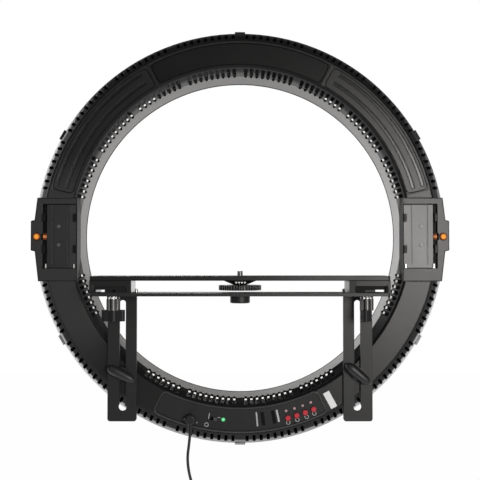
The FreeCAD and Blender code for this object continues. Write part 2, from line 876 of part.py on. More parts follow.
def end_bracket(side):
    half = rail_width / 2
    front = slab(bar_inner_x, rail_half, -half, -half + bracket_plate, stand_rail_top, camera_rail_z)
    inner = slab(bar_inner_x, bar_inner_x + bar_width, -half, half, stand_rail_top, camera_rail_z)
    outer = slab(rail_half - bar_width, rail_half, -half, half, stand_rail_top, camera_rail_z)
    body = front.fuse([inner, outer]).removeSplitter()
    z0 = stand_rail_top + bracket_window_z[0]
    z1 = stand_rail_top + bracket_window_z[1]
    end_r = (z1 - z0) / 2
    x0 = bar_inner_x + bracket_window_end + end_r
    x1 = rail_half - bracket_window_end - end_r
    window = slab(x0, x1, -half - 1, -half + bracket_plate, z0, z1)
    for x in (x0, x1):
        window = window.fuse(Part.makeCylinder(end_r, bracket_plate + 1, V(x, -half - 1, (z0 + z1) / 2), V(0, 1, 0)))
    cuts = [window]
    for x in (bar_inner_x + bar_width / 2, rail_half - bar_width / 2):
        for y in (-rail_screw_y, rail_screw_y):
            cuts.append(upright(x, y, stand_rail_top - 1, stand_rail_top + rail_screw_grip, rail_screw_r))
            cuts.append(upright(x, y, camera_rail_z - rail_screw_grip, camera_rail_z + 1, rail_screw_r))
    return on_side(body.cut(cuts), side)


def rail_screws():
    screws = []
    for x, y in rail_screw_places():
        top = upright(x, y, camera_rail_z - rail_screw_grip, camera_rail_top, rail_screw_r)
        screws.append(top.fuse(upright(x, y, camera_rail_top - rail_screw_head, camera_rail_top,
                                       rail_screw_head_r)).removeSplitter())
        screws.append(upright(x, y, stand_rail_z - rail_screw_end, stand_rail_top + rail_screw_grip, rail_screw_r))
    for side in (-1, 1):
        screws.append(upright(side * stop_pin_x, 0, stand_rail_z, stand_rail_top + stop_pin_height, stop_pin_r))
    return Part.makeCompound(screws)


def stand_socket():
    boss = upright(0, 0, 0, stand_rail_z, socket_boss_r)
    low = [edge for edge in boss.Edges if edge.BoundBox.ZMax < 0.01]
    boss = boss.makeChamfer(socket_chamfer, low)
    boss = boss.fuse(upright(0, 0, stand_rail_z, stand_rail_top, socket_neck_r))
    return boss.cut(upright(0, 0, -1, socket_length, socket_r))


# Arms
def arm(side):
    plate = slab(arm_x0, arm_x1, arm_front_y, arm_back_y, arm_bottom_z, foot_top_z)
    plate = plate.cut(slab(arm_upper_x1, arm_x1 + 1, arm_front_y - 1, arm_back_y + 1, arm_notch_z, stand_rail_z))
    corners = [edge for edge in plate.Edges if edge.BoundBox.YLength > arm_thick - 0.1
               and (edge.BoundBox.ZMax < arm_bottom_z + 0.1
                    or (abs(edge.BoundBox.ZMax - arm_notch_z) < 0.1 and edge.BoundBox.XMax > arm_upper_x1 + 1))]
    plate = plate.makeFillet(arm_corner, corners)
    foot = slab(knob_x - foot_half, knob_x + foot_half, foot_front_y, arm_back_y, foot_z, foot_top_z)
    foot = foot.cut(upright(knob_x, 0, foot_z - 1, foot_top_z + 1, stud_r + stud_play))
    body = plate.fuse(foot).removeSplitter()
    slot_r = arm_slot_width / 2
    y0, length = arm_front_y - 1, arm_thick + 2
    slot = Part.makeBox(arm_slot_width, length, arm_slot_top_z - slot_r - keyhole_z,
                        V(arm_slot_x - slot_r, y0, keyhole_z))
    cuts = [slot,
            Part.makeCylinder(slot_r, length, V(arm_slot_x, y0, arm_slot_top_z - slot_r), V(0, 1, 0)),
            Part.makeCylinder(keyhole_r, length, V(arm_slot_x, y0, keyhole_z), V(0, 1, 0))]
    return on_side(body.cut(cuts), side)


def arm_nuts():
    nuts = []
    half = nut_size / 2
    for side in (-1, 1):
        x = side * knob_x
        nut = slab(x - half, x + half, -half, half, nut_z, nut_z + nut_height)
        nuts.append(nut.cut(upright(x, 0, nut_z - 1, nut_z + nut_height + 1, stud_r + turn_play)))
    return Part.makeCompound(nuts)


def fluted(radius, z0, z1, x, y, count, flute_r):
    """A knob's grip: a cylinder with round flutes down its side."""
    body = upright(x, y, z0, z1, radius)
    cuts = []
    for step in range(count):
        turn = 2 * math.pi * step / count
        cuts.append(upright(x + radius * math.cos(turn), y + radius * math.sin(turn), z0 - 1, z1 + 1, flute_r))
    return body.cut(cuts)


def arm_knob(side):
    turn = knob_turns[0] if side == "left" else knob_turns[1]
    top = sleeve_top_z
    low = sleeve_low_z
    grip = fluted(sleeve_r, low, top, 0, 0, sleeve_flutes, sleeve_flute_r)
    half = wing_length / 2
    wing = slab(-half, half, -wing_thick / 2, wing_thick / 2, low - wing_height, low + 0.5)
    wing = round_corners(wing, wing_thick / 2 - 0.05, V(0, 0, 1))
    body = grip.fuse([wing, upright(0, 0, low - wing_height, low, sleeve_r - 1.5)]).removeSplitter()
    body = body.cut(upright(0, 0, low, top + 1, stud_r))
    body.rotate(V(0, 0, 0), V(0, 0, 1), turn)
    crown = upright(0, 0, top, knob_top_z, crown_r).cut(upright(0, 0, top - 1, knob_top_z + 1, crown_r - crown_wall))
    crown = crown.cut(slab(-crown_opening / 2, crown_opening / 2, -crown_r, crown_r, top - 1, knob_top_z + 1))
    body = body.fuse(crown).removeSplitter()
    body.translate(V(-knob_x if side == "left" else knob_x, 0, 0))
    return body


def arm_stud(side):
    return on_side(upright(knob_x, 0, sleeve_low_z, nut_z + nut_height + stud_end, stud_r), side)


def clamp_lever(side):
    sign = -1 if side == "left" else 1
    tilt = lever_tilts[0] if side == "left" else lever_tilts[1]
    face = arm_front_y - arm_gap
    hub = Part.makeCylinder(lever_hub_r, lever_hub + 0.5, V(0, face, 0), V(0, -1, 0))
    half = lever_length / 2
    blade = Part.makeBox(lever_length, lever_height, lever_thick,
                         V(-half, face - lever_hub - lever_height, -lever_thick / 2))
    blade = round_corners(blade, lever_thick / 2 - 0.05, V(0, 1, 0))
    outer = [edge for edge in blade.Edges if edge.BoundBox.YMax < face - lever_hub - lever_height + 0.1]
    blade = blade.makeFillet(lever_round, outer)
    body = hub.fuse(blade).removeSplitter()
    body = body.cut(Part.makeCylinder(stud_r, lever_hub + lever_bore, V(0, face + 1, 0), V(0, -1, 0)))
    body.rotate(V(0, 0, 0), V(0, 1, 0), -tilt)
    body.translate(V(sign * arm_slot_x, 0, lever_z))
    return body


def clamp_stud(side):
    face = arm_front_y - arm_gap
    start = face - lever_hub - 3
    return on_side(Part.makeCylinder(stud_r, back_y + insert_length - 2 - start, V(arm_slot_x, start, lever_z),
                                     V(0, 1, 0)), side)


# Camera screw
def camera_knob():
    low = stand_rail_top + camera_knob_z
    body = fluted(camera_knob_r, low, low + camera_knob_height, 0, 0, camera_knob_flutes,
                  camera_knob_flute_r)
    return body.cut(upright(0, 0, low - 1, low + camera_knob_height + 1, camera_shank_r))


def camera_screw():
    shank = upright(0, 0, stand_rail_top + camera_knob_z, camera_rail_top, camera_shank_r)
    return shank.fuse(upright(0, 0, camera_rail_top, camera_rail_top + camera_screw_proud, camera_screw_r))


def camera_collar():
    low = stand_rail_top + camera_knob_z + camera_knob_height + arm_gap
    top = camera_rail_z - arm_gap
    cone = Part.makeCone(collar_low_r, collar_top_r, top - low, V(0, 0, low), V(0, 0, 1))
    half = camera_slot_width / 2 - shoe_gap
    shoe = slab(-shoe_half, shoe_half, -half, half, top - shoe_gap, camera_rail_top - 2 * arm_gap)
    return cone.fuse(shoe).cut(upright(0, 0, low - 1, camera_rail_top + 1, camera_shank_r + turn_play))


# Power lead
def cord_points():
    """The points of the lead's route, from the plug's relief to the coil."""
    centre = ring_point(*panel_place(jack_at), 0)
    return [centre + V(*step) for step in cord_route]


def dc_plug():
    centre = ring_point(*panel_place(jack_at), 0)
    face = plate_sink - jack_proud
    body = Part.makeCylinder(plug_r, plug_length, V(centre.x, back_y + face, centre.z), V(0, -1, 0))
    rim = [edge for edge in body.Edges if edge.BoundBox.YMax < back_y + face - plug_length + 0.1]
    body = body.makeFillet(plug_round, rim)
    start = cord_points()[0]
    neck = Part.makeCone(relief_r0, relief_r1, centre.z - start.z, V(start.x, start.y, centre.z), V(0, 0, -1))
    pin = Part.makeCylinder(jack_bore_r - plug_play, plug_pin_length, V(centre.x, back_y + face, centre.z),
                            V(0, 1, 0))
    return body.fuse([neck, pin]).removeSplitter()


def cord_wire(corners):
    """Straight runs joined by tangent arcs, each as large as its two runs allow. Prints the radii."""
    edges = []
    radii = []
    last = corners[0]
    for before, corner, after in zip(corners, corners[1:], corners[2:]):
        run_in = corner - before
        run_out = after - corner
        turn = run_in.getAngle(run_out)
        cut = 0.45 * min(run_in.Length, run_out.Length)
        radii.append(cut / math.tan(turn / 2))
        start = corner - V(run_in).normalize() * cut
        end = corner + V(run_out).normalize() * cut
        edges.append(Part.LineSegment(last, start).toShape())
        edges.append(arc_from(start, V(run_in).normalize(), end))
        last = end
    edges.append(Part.LineSegment(last, corners[-1]).toShape())
    print("cord radii", [round(radius, 1) for radius in radii])
    return Part.Wire(edges)


def power_cord():
    points = cord_points()
    wire = cord_wire(points)
    tube = tube_along(wire, points[0], points[1] - points[0], cord_d / 2)
    section = math.pi * cord_d * cord_d / 4
    print("cord tube length", round(wire.Length, 1), "volume over section", round(tube.Volume / section, 1))
    return tube


def coil_place(t):
    """A point of the coil after t turns: layers that spiral in and out, each climbing where the spiral turns back."""
    layer = min(int(t / coil_turns_in_layer), coil_layers - 1)
    within = t - layer * coil_turns_in_layer
    reach = coil_turns_in_layer * coil_pitch
    outer = coil_mid_r + reach / 2
    if layer % 2 == 0:
        radius = outer - within * coil_pitch
    else:
        radius = outer - reach + within * coil_pitch
    height = 0.0
    for climb in range(1, coil_layers):
        part = (t - climb * coil_turns_in_layer) / 0.5 + 0.5
        height += coil_pitch * min(max(part, 0.0), 1.0)
    end = cord_points()[-1]
    turn = math.pi + 2 * math.pi * t
    centre = V(end.x + outer, end.y, end.z - cord_d)
    return centre + V(radius * math.cos(turn), height, radius * math.sin(turn))


def coil_least_gap():
    """The least gap between two stretches of the coil that aren't neighbours along it, on points."""
    steps = 72
    turns = coil_layers * coil_turns_in_layer
    points = [coil_place(step / steps) for step in range(turns * steps + 1)]
    least = 1e9
    for i in range(0, len(points), 2):
        for j in range(i + steps // 2, len(points)):
            distance = (points[i] - points[j]).Length
            least = min(least, distance)
    return least - cord_d


def cord_coil():
    turns = coil_layers * coil_turns_in_layer
    down = V(0, 0, -1)
    wire = wound_wire(coil_place, turns, 4, down, cord_d)
    tube = tube_along(wire, cord_points()[-1], down, cord_d / 2)
    print("coil length", round(wire.Length, 1), "least gap", round(coil_least_gap(), 2), "solid", tube.isValid(),
          "volume over section", round(tube.Volume / (math.pi * cord_d * cord_d / 4), 1))
    return tube


def coil_tie():
    end = cord_points()[-1]
    reach = coil_turns_in_layer * coil_pitch
    outer = coil_mid_r + reach / 2
    centre = V(end.x + outer, end.y, end.z - cord_d)
    x0 = centre.x + outer - reach - cord_d / 2 - tie_gap - 0.4
    x1 = centre.x + outer + cord_d / 2 + tie_gap
    y0 = centre.y - cord_d / 2 - tie_gap
    y1 = centre.y + (coil_layers - 1) * coil_pitch + cord_d / 2 + tie_gap
    z0 = centre.z - tie_width / 2
    z1 = centre.z + tie_width / 2
    band = slab(x0 - tie_thick, x1 + tie_thick, y0 - tie_thick, y1 + tie_thick, z0, z1)
    return band.cut(slab(x0, x1, y0, y1, z0 - 1, z1 + 1))


def cord_connector():
    start = coil_place(coil_layers * coil_turns_in_layer) - V(0, 0, cord_d)
    down = V(0, 0, -1)
    relief = Part.makeCone(relief_r1, relief_r0, connector_relief, start, down)
    barrel = Part.makeCylinder(connector_r, connector_length, start + down * connector_relief, down)
    tip = Part.makeCylinder(connector_tip_r, connector_tip, start + down * (connector_relief + connector_length), down)
    tip = tip.cut(Part.makeCylinder(connector_tip_r - connector_tip_wall, connector_tip,
                                    start + down * (connector_relief + connector_length + connector_tip_wall), down))
    return relief.fuse([barrel, tip]).removeSplitter()


def main():
    os.makedirs("parts", exist_ok=True)
    save("rear_housing", rear_housing())
    save("front_frame", front_frame())
    save("front_diffuser", front_diffuser())
    save("inner_wall", inner_wall())
    save("rim_clips", rim_clips())
    save("heat_spreader", heat_spreader())
    save("led_board", led_board())
    save("warm_leds", leds((0, 2)))
    save("cool_leds", leds((1, 3)))
    save("housing_screws", housing_screws())
    save("clamp_inserts", clamp_inserts())
    save("top_plate", top_plate())
    save("control_panel", control_panel())
    for number in range(button_count):
        save("red_button_" + str(number + 1), red_button(number))
    save("indicator_leds", indicator_leds())
    save("power_led", power_led())
    save("power_switch", power_switch())
    save("display_windows", display_windows())
    save("dc_jack", dc_jack())
    save("driver_board", driver_board())
    save("driver_parts", driver_parts())
    for side in ("left", "right"):
        save("battery_bay_" + side, battery_bay(side))
        save("battery_plate_" + side, battery_plate(side))
        save("release_button_" + side, release_button(side))
        save("release_spring_" + side, release_spring(side))
        save("latch_" + side, latch(side))
        save("end_bracket_" + side, end_bracket(side))
        save("arm_" + side, arm(side))
        save("arm_knob_" + side, arm_knob(side))
        save("arm_stud_" + side, arm_stud(side))
        save("clamp_lever_" + side, clamp_lever(side))
        save("clamp_stud_" + side, clamp_stud(side))
    save("battery_contacts", battery_contacts())
    save("camera_rail", camera_rail())
    save("stand_rail", stand_rail())
    save("rail_screws", rail_screws())
    save("stand_socket", stand_socket())
    save("arm_nuts", arm_nuts())
    save("camera_knob", camera_knob())
    save("camera_screw", camera_screw())
    save("camera_collar", camera_collar())
    save("dc_plug", dc_plug())
    save("power_cord", power_cord())
    save("cord_coil", cord_coil())
    save("coil_tie", coil_tie())
    save("cord_connector", cord_connector())


main()
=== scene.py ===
import math

import bmesh
import bpy
from mathutils import Matrix, Vector


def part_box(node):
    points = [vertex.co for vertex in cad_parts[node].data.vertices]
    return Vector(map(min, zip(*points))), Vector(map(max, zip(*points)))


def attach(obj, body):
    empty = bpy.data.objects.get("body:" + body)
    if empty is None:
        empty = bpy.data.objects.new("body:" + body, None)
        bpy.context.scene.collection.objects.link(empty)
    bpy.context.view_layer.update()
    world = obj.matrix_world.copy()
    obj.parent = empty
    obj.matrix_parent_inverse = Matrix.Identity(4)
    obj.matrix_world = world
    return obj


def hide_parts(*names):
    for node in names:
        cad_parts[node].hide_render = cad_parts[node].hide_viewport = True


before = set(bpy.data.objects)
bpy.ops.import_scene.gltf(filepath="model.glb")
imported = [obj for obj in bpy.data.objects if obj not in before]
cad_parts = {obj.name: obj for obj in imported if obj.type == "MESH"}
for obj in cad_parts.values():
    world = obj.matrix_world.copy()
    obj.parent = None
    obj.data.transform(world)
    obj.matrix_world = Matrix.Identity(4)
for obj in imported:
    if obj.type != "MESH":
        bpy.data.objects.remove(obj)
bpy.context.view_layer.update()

# Camera. It stands behind the light, level with its bracket, and looks at the back of the ring.
# The ring's flat back is 0.88 m away, where one pixel of the picture covers 1.09 mm.
viewer_place = (0.0, -0.855, 0.0455)
viewer_tilt = math.radians(1.42)
viewer_lens = 60.5
viewer_data = bpy.data.cameras.new("viewer")
viewer_data.sensor_width = 36.0
viewer_data.lens = viewer_lens
viewer = bpy.data.objects.new("viewer", viewer_data)
viewer.location = viewer_place
viewer.rotation_euler = (math.pi / 2 + viewer_tilt, 0, 0)
bpy.context.scene.collection.objects.link(viewer)
bpy.context.scene.camera = viewer
bpy.context.scene.view_settings.view_transform = "Standard"


class Wire:
    """One socket of a finish. Sums, products and comparisons of wires add the nodes that work them out."""

    def __init__(self, socket):
        self.socket = socket

    def node(self, kind, settings=None, inputs=None, output=0):
        """Adds a node: first its settings, then the values or wires of its sockets. Gives one of its outputs."""
        tree = self.socket.id_data
        made = tree.nodes.new("ShaderNode" + kind)
        for name, value in (settings or {}).items():
            setattr(made, name, value)
        for name, value in (inputs or {}).items():
            socket = made.inputs[name]
            if isinstance(value, Wire):
                tree.links.new(value.socket, socket)
            elif socket.type == "RGBA":
                socket.default_value = (*value, 1.0)
            else:
                socket.default_value = value
        return Wire(made.outputs[output]) if made.outputs else None

    def other(self, name):
        """Another output of the node that this wire comes from."""
        return Wire(self.socket.node.outputs[name])

    def maths(self, operation, first, second=0.0):
        return self.node("Math", {"operation": operation}, {0: first, 1: second})

    def __add__(self, other):
        return self.maths("ADD", self, other)

    __radd__ = __add__

    def __sub__(self, other):
        return self.maths("SUBTRACT", self, other)

    def __rsub__(self, other):
        return self.maths("SUBTRACT", other, self)

    def __mul__(self, other):
        return self.maths("MULTIPLY", self, other)

    __rmul__ = __mul__

    def __pow__(self, other):
        return self.maths("POWER", self, other)

    def __gt__(self, other):
        return self.maths("GREATER_THAN", self, other)

    def __lt__(self, other):
        return self.maths("LESS_THAN", self, other)

    def __abs__(self):
        return self.maths("ABSOLUTE", self)

    def fade(self, start, end):
        """0 where this wire is at start, 1 where it is at end, and a smooth step between them."""
        return self.node("MapRange", {"interpolation_type": "SMOOTHSTEP"},
                         {"Value": self, "From Min": start, "From Max": end})

    def within(self, low, high):
        """1 where this wire lies between two values."""
        return (self > low) * (self < high)

    def most(self, *others):
        """The highest of this wire and others."""
        highest = self
        for other in others:
            highest = self.maths("MAXIMUM", highest, other)
        return highest

    def between(self, low, high):
        """The colour from low to high that this mask picks."""
        return self.node("Mix", {"data_type": "RGBA"}, {0: self, 6: low, 7: high}, output=2)

    def grain(self, scale, detail=2.0, stretch=(1.0, 1.0, 1.0)):
        """Noise on this wire's coordinates, from 0 to 1, with scale in patches per metre."""
        place = self.node("Mapping", {}, {"Vector": self, "Scale": stretch})
        return self.node("TexNoise", {}, {"Vector": place, "Scale": scale, "Detail": detail})

    def close(self, sockets, height=None, depth=0.0001, edge=0.0, dull=None):
        """Ends a finish with its surface. Height gives its bump, edge rounds its corners, dull masks black gaps and
        painted shade.
        """
        if edge:
            sockets["Normal"] = self.node("Bevel", {"samples": 4}, {"Radius": edge})
        if height is not None:
            bump = {"Strength": 1.0, "Distance": depth, "Height": height}
            if edge:
                bump["Normal"] = sockets["Normal"]
            sockets["Normal"] = self.node("Bump", {}, bump)
        surface = self.node("BsdfPrincipled", {}, sockets)
        if dull is not None:
            black_gap_and_shade = self.node("BsdfPrincipled", {}, {"Base Color": (0.005, 0.005, 0.005), "Roughness": 0.95,
                                                   "Specular IOR Level": 0.08})
            surface = self.node("MixShader", {}, {0: dull, 1: surface, 2: black_gap_and_shade})
        self.node("OutputMaterial", {}, {"Surface": surface})


def new_finish(name):
    """A new material, and the wire of its piece's own coordinates."""
    material = bpy.data.materials.new(name)
    material.use_nodes = True
    material.node_tree.nodes.clear()
    return material, Wire(material.node_tree.nodes.new("ShaderNodeTexCoord").outputs["Object"])


def paint(finish, *nodes):
    """Gives carried-over pieces their finish."""
    for name in nodes:
        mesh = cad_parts[name].data
        mesh.materials.clear()
        mesh.materials.append(finish)


def add_piece(name, form, finish, body=None, smooth=True):
    """Turns a finished bmesh into a piece of the light, riding on a body."""
    mesh = bpy.data.meshes.new(name)
    form.to_mesh(mesh)
    form.free()
    mesh.materials.append(finish)
    for face in mesh.polygons:
        face.use_smooth = smooth
    piece = bpy.data.objects.new(name, mesh)
    bpy.context.scene.collection.objects.link(piece)
    if smooth:
        mesh.set_sharp_from_angle(angle=math.radians(35))
    if body:
        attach(piece, body)
    return piece


# Power lead: a 3 mm round black lead from the adapter's right-angle plug. It hangs from the plug, and its unseen
# length is wound into a neat coil with a hook-and-loop tie and the adapter's inline connector on its end.
lead_d = 0.003
plate_outer_r = 0.212
jack_angle = math.radians(254.8)
jack_inwards = 0.0066
jack_r = plate_outer_r - jack_inwards
ring_z = 0.072
back_y = 0.025
jack_centre = Vector((jack_r * math.cos(jack_angle), back_y, ring_z + jack_r * math.sin(jack_angle)))
lead_route = [jack_centre + Vector(step) for step in (
    (0.0, -0.0065, -0.016),
    (-0.001, -0.0065, -0.0268),
    (-0.0028, -0.0067, -0.0398),
    (-0.0016, -0.007, -0.0548),
    (0.003, -0.0075, -0.0713),
    (0.0056, -0.008, -0.0863),
    (0.0056, -0.008, -0.0998),
)]
coil_layers = 4
coil_turns_in_layer = 3
coil_pitch = 0.0035
coil_mid_r = 0.0165
coil_climb = 0.5
coil_steps = 16


def coil_place(t):
    """A point of the coil after t turns: layers that spiral in and out, each beside the last."""
    layer = min(int(t / coil_turns_in_layer), coil_layers - 1)
    within = t - layer * coil_turns_in_layer
    reach = coil_turns_in_layer * coil_pitch
    outer = coil_mid_r + reach / 2
    radius = outer - within * coil_pitch if layer % 2 == 0 else outer - reach + within * coil_pitch
    height = sum(coil_pitch * min(max((t - layers * coil_turns_in_layer) / coil_climb + 0.5, 0.0), 1.0)
                 for layers in range(1, coil_layers))
    end = lead_route[-1]
    turn = math.pi + 2 * math.pi * t
    spread = radius / math.cos(math.pi / coil_steps)
    return Vector((end.x + outer + spread * math.cos(turn), end.y + height, end.z - lead_d + spread * math.sin(turn)))


lead_points = list(lead_route)
for step in range(coil_layers * coil_turns_in_layer * coil_steps + 1):
    lead_points.append(coil_place(step / coil_steps))
lead_points.append(lead_points[-1] - Vector((0, 0, lead_d)))
lead_curve = bpy.data.curves.new("power_lead", "CURVE")
lead_curve.dimensions = "3D"
lead_curve.bevel_depth = lead_d / 2
lead_curve.bevel_resolution = 4
lead_curve.resolution_u = 4
lead_line = lead_curve.splines.new("NURBS")
lead_line.points.add(len(lead_points) - 1)
for point, at in zip(lead_line.points, lead_points):
    point.co = (*at, 1.0)
lead_line.order_u = 3
lead_line.use_endpoint_u = True
power_lead = bpy.data.objects.new("power_lead", lead_curve)
bpy.context.scene.collection.objects.link(power_lead)

sheath, place = new_finish("black_sheath")
speck = place.grain(900)
place.close({"Base Color": place.grain(60).between((0.012, 0.012, 0.013), (0.02, 0.02, 0.021)),
             "Roughness": 0.36 + 0.12 * speck, "Specular IOR Level": 0.4}, speck, depth=0.00004)
lead_curve.materials.append(sheath)

plug_plastic, place = new_finish("plug_plastic")
speck = place.grain(1500)
place.close({"Base Color": place.grain(90).between((0.009, 0.009, 0.01), (0.015, 0.015, 0.016)),
             "Roughness": 0.3 + 0.14 * speck, "Specular IOR Level": 0.4}, speck, depth=0.00003)
paint(plug_plastic, "dc_plug", "cord_connector", "dc_jack")

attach(power_lead, "ring")
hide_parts("power_cord", "cord_coil")

# Coil tie: a woven nylon strap with hook-and-loop faces, passed once round the coil and pressed on itself.
tie_low, tie_high = [Vector(corner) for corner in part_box("coil_tie")]
tie_thick = 0.0012
tie_corner_r = 0.003
tongue_length = 0.0085
tongue_aside = 0.001
tongue_sunk = 0.0001
tongue_round = 0.0003
strap, place = new_finish("hook_and_loop")
pile = place.grain(2600, 3.0)
place.close({"Base Color": pile.between((0.008, 0.008, 0.009), (0.035, 0.035, 0.037)), "Roughness": 0.95,
             "Sheen Weight": 0.3}, pile, depth=0.0003)
tie_form = bmesh.new()
tie_size = tie_high - tie_low
bmesh.ops.create_cube(tie_form, size=1.0, matrix=Matrix.Translation((tie_low + tie_high) / 2)
                      @ Matrix.Diagonal((tie_size.x, tie_size.y, tie_size.z, 1)))
bmesh.ops.delete(tie_form, geom=[face for face in tie_form.faces if abs(face.normal.z) > 0.5], context="FACES_ONLY")
corners = [edge for edge in tie_form.edges if abs((edge.verts[0].co - edge.verts[1].co).z) > tie_size.z / 2]
bmesh.ops.bevel(tie_form, geom=corners, offset=tie_corner_r, segments=5, profile=0.5, affect="EDGES", material=-1)
bmesh.ops.recalc_face_normals(tie_form, faces=tie_form.faces)
bmesh.ops.solidify(tie_form, geom=tie_form.faces, thickness=tie_thick)
tongue_middle = ((tie_low.x + tie_high.x) / 2 + tongue_aside, tie_low.y - tie_thick / 2 + tongue_sunk,
                 (tie_low.z + tie_high.z) / 2)
tongue = bmesh.ops.create_cube(tie_form, size=1.0, matrix=Matrix.Translation(tongue_middle)
                               @ Matrix.Diagonal((tongue_length, tie_thick, tie_size.z, 1)))
tongue_edges = list({edge for vert in tongue["verts"] for edge in vert.link_edges})
bmesh.ops.bevel(tie_form, geom=tongue_edges, offset=tongue_round, segments=2, profile=0.5, affect="EDGES",
                material=-1)
coil_strap = add_piece("coil_strap", tie_form, strap, "ring")
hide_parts("coil_tie")

# Studio. A pale floor lies far below, as under a light stand. Behind the ring the white backdrop shows in its shiny
# edges, most of it low down, while the room above and behind the viewer is dim. The strongest soft light stands to
# the right behind the viewer. Two faint ones fill from the left and from above, and one faces the light side.
floor_z = -1.15
floor_half = 4.5
floor_y = 3.2
floor_white = 0.98
surround_light = 0.46
room_shine = 0.15
ceiling_dim = 0.62
backdrop_y = (-0.1, 0.35)
backdrop_z = (0.42, -0.12)
ceiling_z = (0.02, 0.28)
world = bpy.data.worlds.new("studio")
bpy.context.scene.world = world
world.use_nodes = True
world.node_tree.nodes.clear()
seen = Wire(world.node_tree.nodes.new("ShaderNodeLightPath").outputs["Is Camera Ray"])
through = seen.most(seen.other("Is Transmission Ray"))
towards = seen.node("TexCoord", {}, {}, output="Generated")
across = seen.node("SeparateXYZ", {}, {"Vector": towards}, output="Y")
backdrop = across.fade(*backdrop_y) * across.other("Z").fade(*backdrop_z)
ceiling = across.other("Z").fade(*ceiling_z)
room = room_shine * (1.0 - ceiling_dim * ceiling) + (1.0 - room_shine) * backdrop
lighting = (1.0 - seen.other("Is Glossy Ray")) * surround_light + seen.other("Is Glossy Ray") * room
lit = seen.node("Background", {}, {"Color": (1.0, 1.0, 1.0), "Strength": lighting.most(through)})
seen.node("OutputWorld", {}, {"Surface": lit})

floor_form = bmesh.new()
bmesh.ops.create_grid(floor_form, x_segments=1, y_segments=1, size=floor_half,
                      matrix=Matrix.Translation((0, floor_y, floor_z)))
floor_finish, place = new_finish("pale_floor")
seen = place.node("LightPath", {}, {}, output="Is Camera Ray")
shown = seen.most(seen.other("Is Glossy Ray"))
matt = place.node("BsdfDiffuse", {}, {"Color": place.grain(3).between((0.86, 0.86, 0.86), (0.9, 0.9, 0.9))})
glow = place.node("Emission", {}, {"Color": (1.0, 1.0, 1.0), "Strength": 1.0})
mixed = place.node("MixShader", {}, {0: floor_white * shown, 1: matt, 2: glow})
place.node("OutputMaterial", {}, {"Surface": mixed})
floor = add_piece("floor", floor_form, floor_finish, smooth=False)
lights_aim = (0.0, 0.0, 0.05)


def soft_light(name, at, width, height, power, tint=(1.0, 1.0, 1.0)):
    """A soft box at a place, turned towards the light's middle."""
    data = bpy.data.lights.new(name, "AREA")
    data.shape = "RECTANGLE"
    data.size = width
    data.size_y = height
    data.energy = power
    data.color = tint
    lamp = bpy.data.objects.new(name, data)
    lamp.location = at
    lamp.rotation_euler = (Vector(lights_aim) - Vector(at)).to_track_quat("-Z", "Y").to_euler()
    bpy.context.scene.collection.objects.link(lamp)


soft_light("right_box", (0.68, -1.7, 0.14), 0.42, 0.52, 17.4, (1.0, 0.975, 0.945))
soft_light("left_strip", (-1.0, -1.3, 0.75), 0.2, 0.5, 1.6)
soft_light("top_box", (-0.3, -0.7, 1.7), 1.4, 1.0, 2.6)
soft_light("front_box", (-0.7, 2.2, 0.4), 1.4, 1.0, 7.5)

# Rear housing: one moulded ABS shell, spark-eroded matt on its back and its vented slope, and smoother on its
# shoulder, its rim and the floors of its recesses. Screws from the light side hold it, so none show. The battery
# bays are moulded with it.
slope_start_r = (0.2128, 0.2158)
slope_bright_r = (0.2262, 0.2318)
slope_shade = 0.72
low_slope_shade = 0.2
rim_gloss = 0.2
low_rim_gloss = 0.7
shoulder_bright_y = (0.033, 0.0415)
shoulder_gloss = 0.7
shoulder_shade = 0.45
shoulder_end_r = 0.1878
plate_inner_r = 0.188
recess_floor = 0.0009
vent_end_y = (0.0659, 0.0661)
rim_light_z = (0.03, -0.11)
rim_dark_z = (-0.213, -0.17)
lift_x = (-0.13, -0.165)
lift_mid_z = -0.03
lift_z = (0.13, 0.06)
low_right_x = (-0.02, 0.04)
low_right_z = (-0.06, -0.11)
low_right_shade = 0.7


def parts_of(place):
    """The X, Y and Z of a wire's coordinates, with Z from the ring's axis."""
    x = place.node("SeparateXYZ", {}, {"Vector": place})
    return x, x.other("Y"), x.other("Z") - ring_z


def length_of(across, up):
    """The length of a step across and up, as a wire."""
    return (across * across + up * up) ** 0.5


def ring_radius(place):
    """The distance from the ring's axis, as a wire."""
    x, y, z = parts_of(place)
    return length_of(x, z)


# Painted light: the base colour is set paler on the left middle of the ring.
def left_painted_light(x, z):
    """A mask for the left middle of the ring, which the photo shows a little paler."""
    return x.fade(*lift_x) * abs(z - lift_mid_z).fade(*lift_z)


# Painted light and shade: the left middle is set paler, and flat black is mixed in on the vented slope (more low
# down), on the shoulder outside its glossy band and on its lower right part, and in a thin band at the deep end of
# the vents.
shell, place = new_finish("housing_black")
x, y, z = parts_of(place)
radius = ring_radius(place)
bright_rim = radius.fade(*slope_bright_r)
slope = radius.fade(*slope_start_r) * (1.0 - bright_rim)
shoulder = (radius < shoulder_end_r) * y.fade(*shoulder_bright_y)
low = z.fade(*rim_light_z)
low_right = x.fade(*low_right_x) * z.fade(*low_right_z)
grit = place.grain(1700, 3.0)
haze = place.grain(14, 3.0)
recess = (y > back_y + recess_floor) * radius.within(plate_inner_r, plate_outer_r)
polished = bright_rim.most(shoulder, recess)
rim_coat = bright_rim * (rim_gloss + low_rim_gloss * low * z.fade(*rim_dark_z))
slope_painted_shade = slope * (slope_shade + low_slope_shade * low)
shoulder_painted_shade = (shoulder_shade * (1.0 - shoulder)).most(low_right_shade * low_right)
black = haze.between((0.0045, 0.0045, 0.0048), (0.0085, 0.0083, 0.0082))
place.close({"Base Color": left_painted_light(x, z).between(black, (0.0285, 0.0285, 0.0288)),
             "Roughness": 0.34 - 0.1 * polished + 0.06 * haze + 0.05 * (grit - 0.5), "Specular IOR Level": 0.42,
             "Coat Weight": rim_coat.most(shoulder_gloss * shoulder * (1.0 - low_right)), "Coat Roughness": 0.16},
            grit * (1.0 - 0.7 * polished), depth=0.00006, edge=0.0016,
            dull=y.within(*vent_end_y).most(slope_painted_shade + (radius < shoulder_end_r) * shoulder_painted_shade))
paint(shell, "rear_housing")

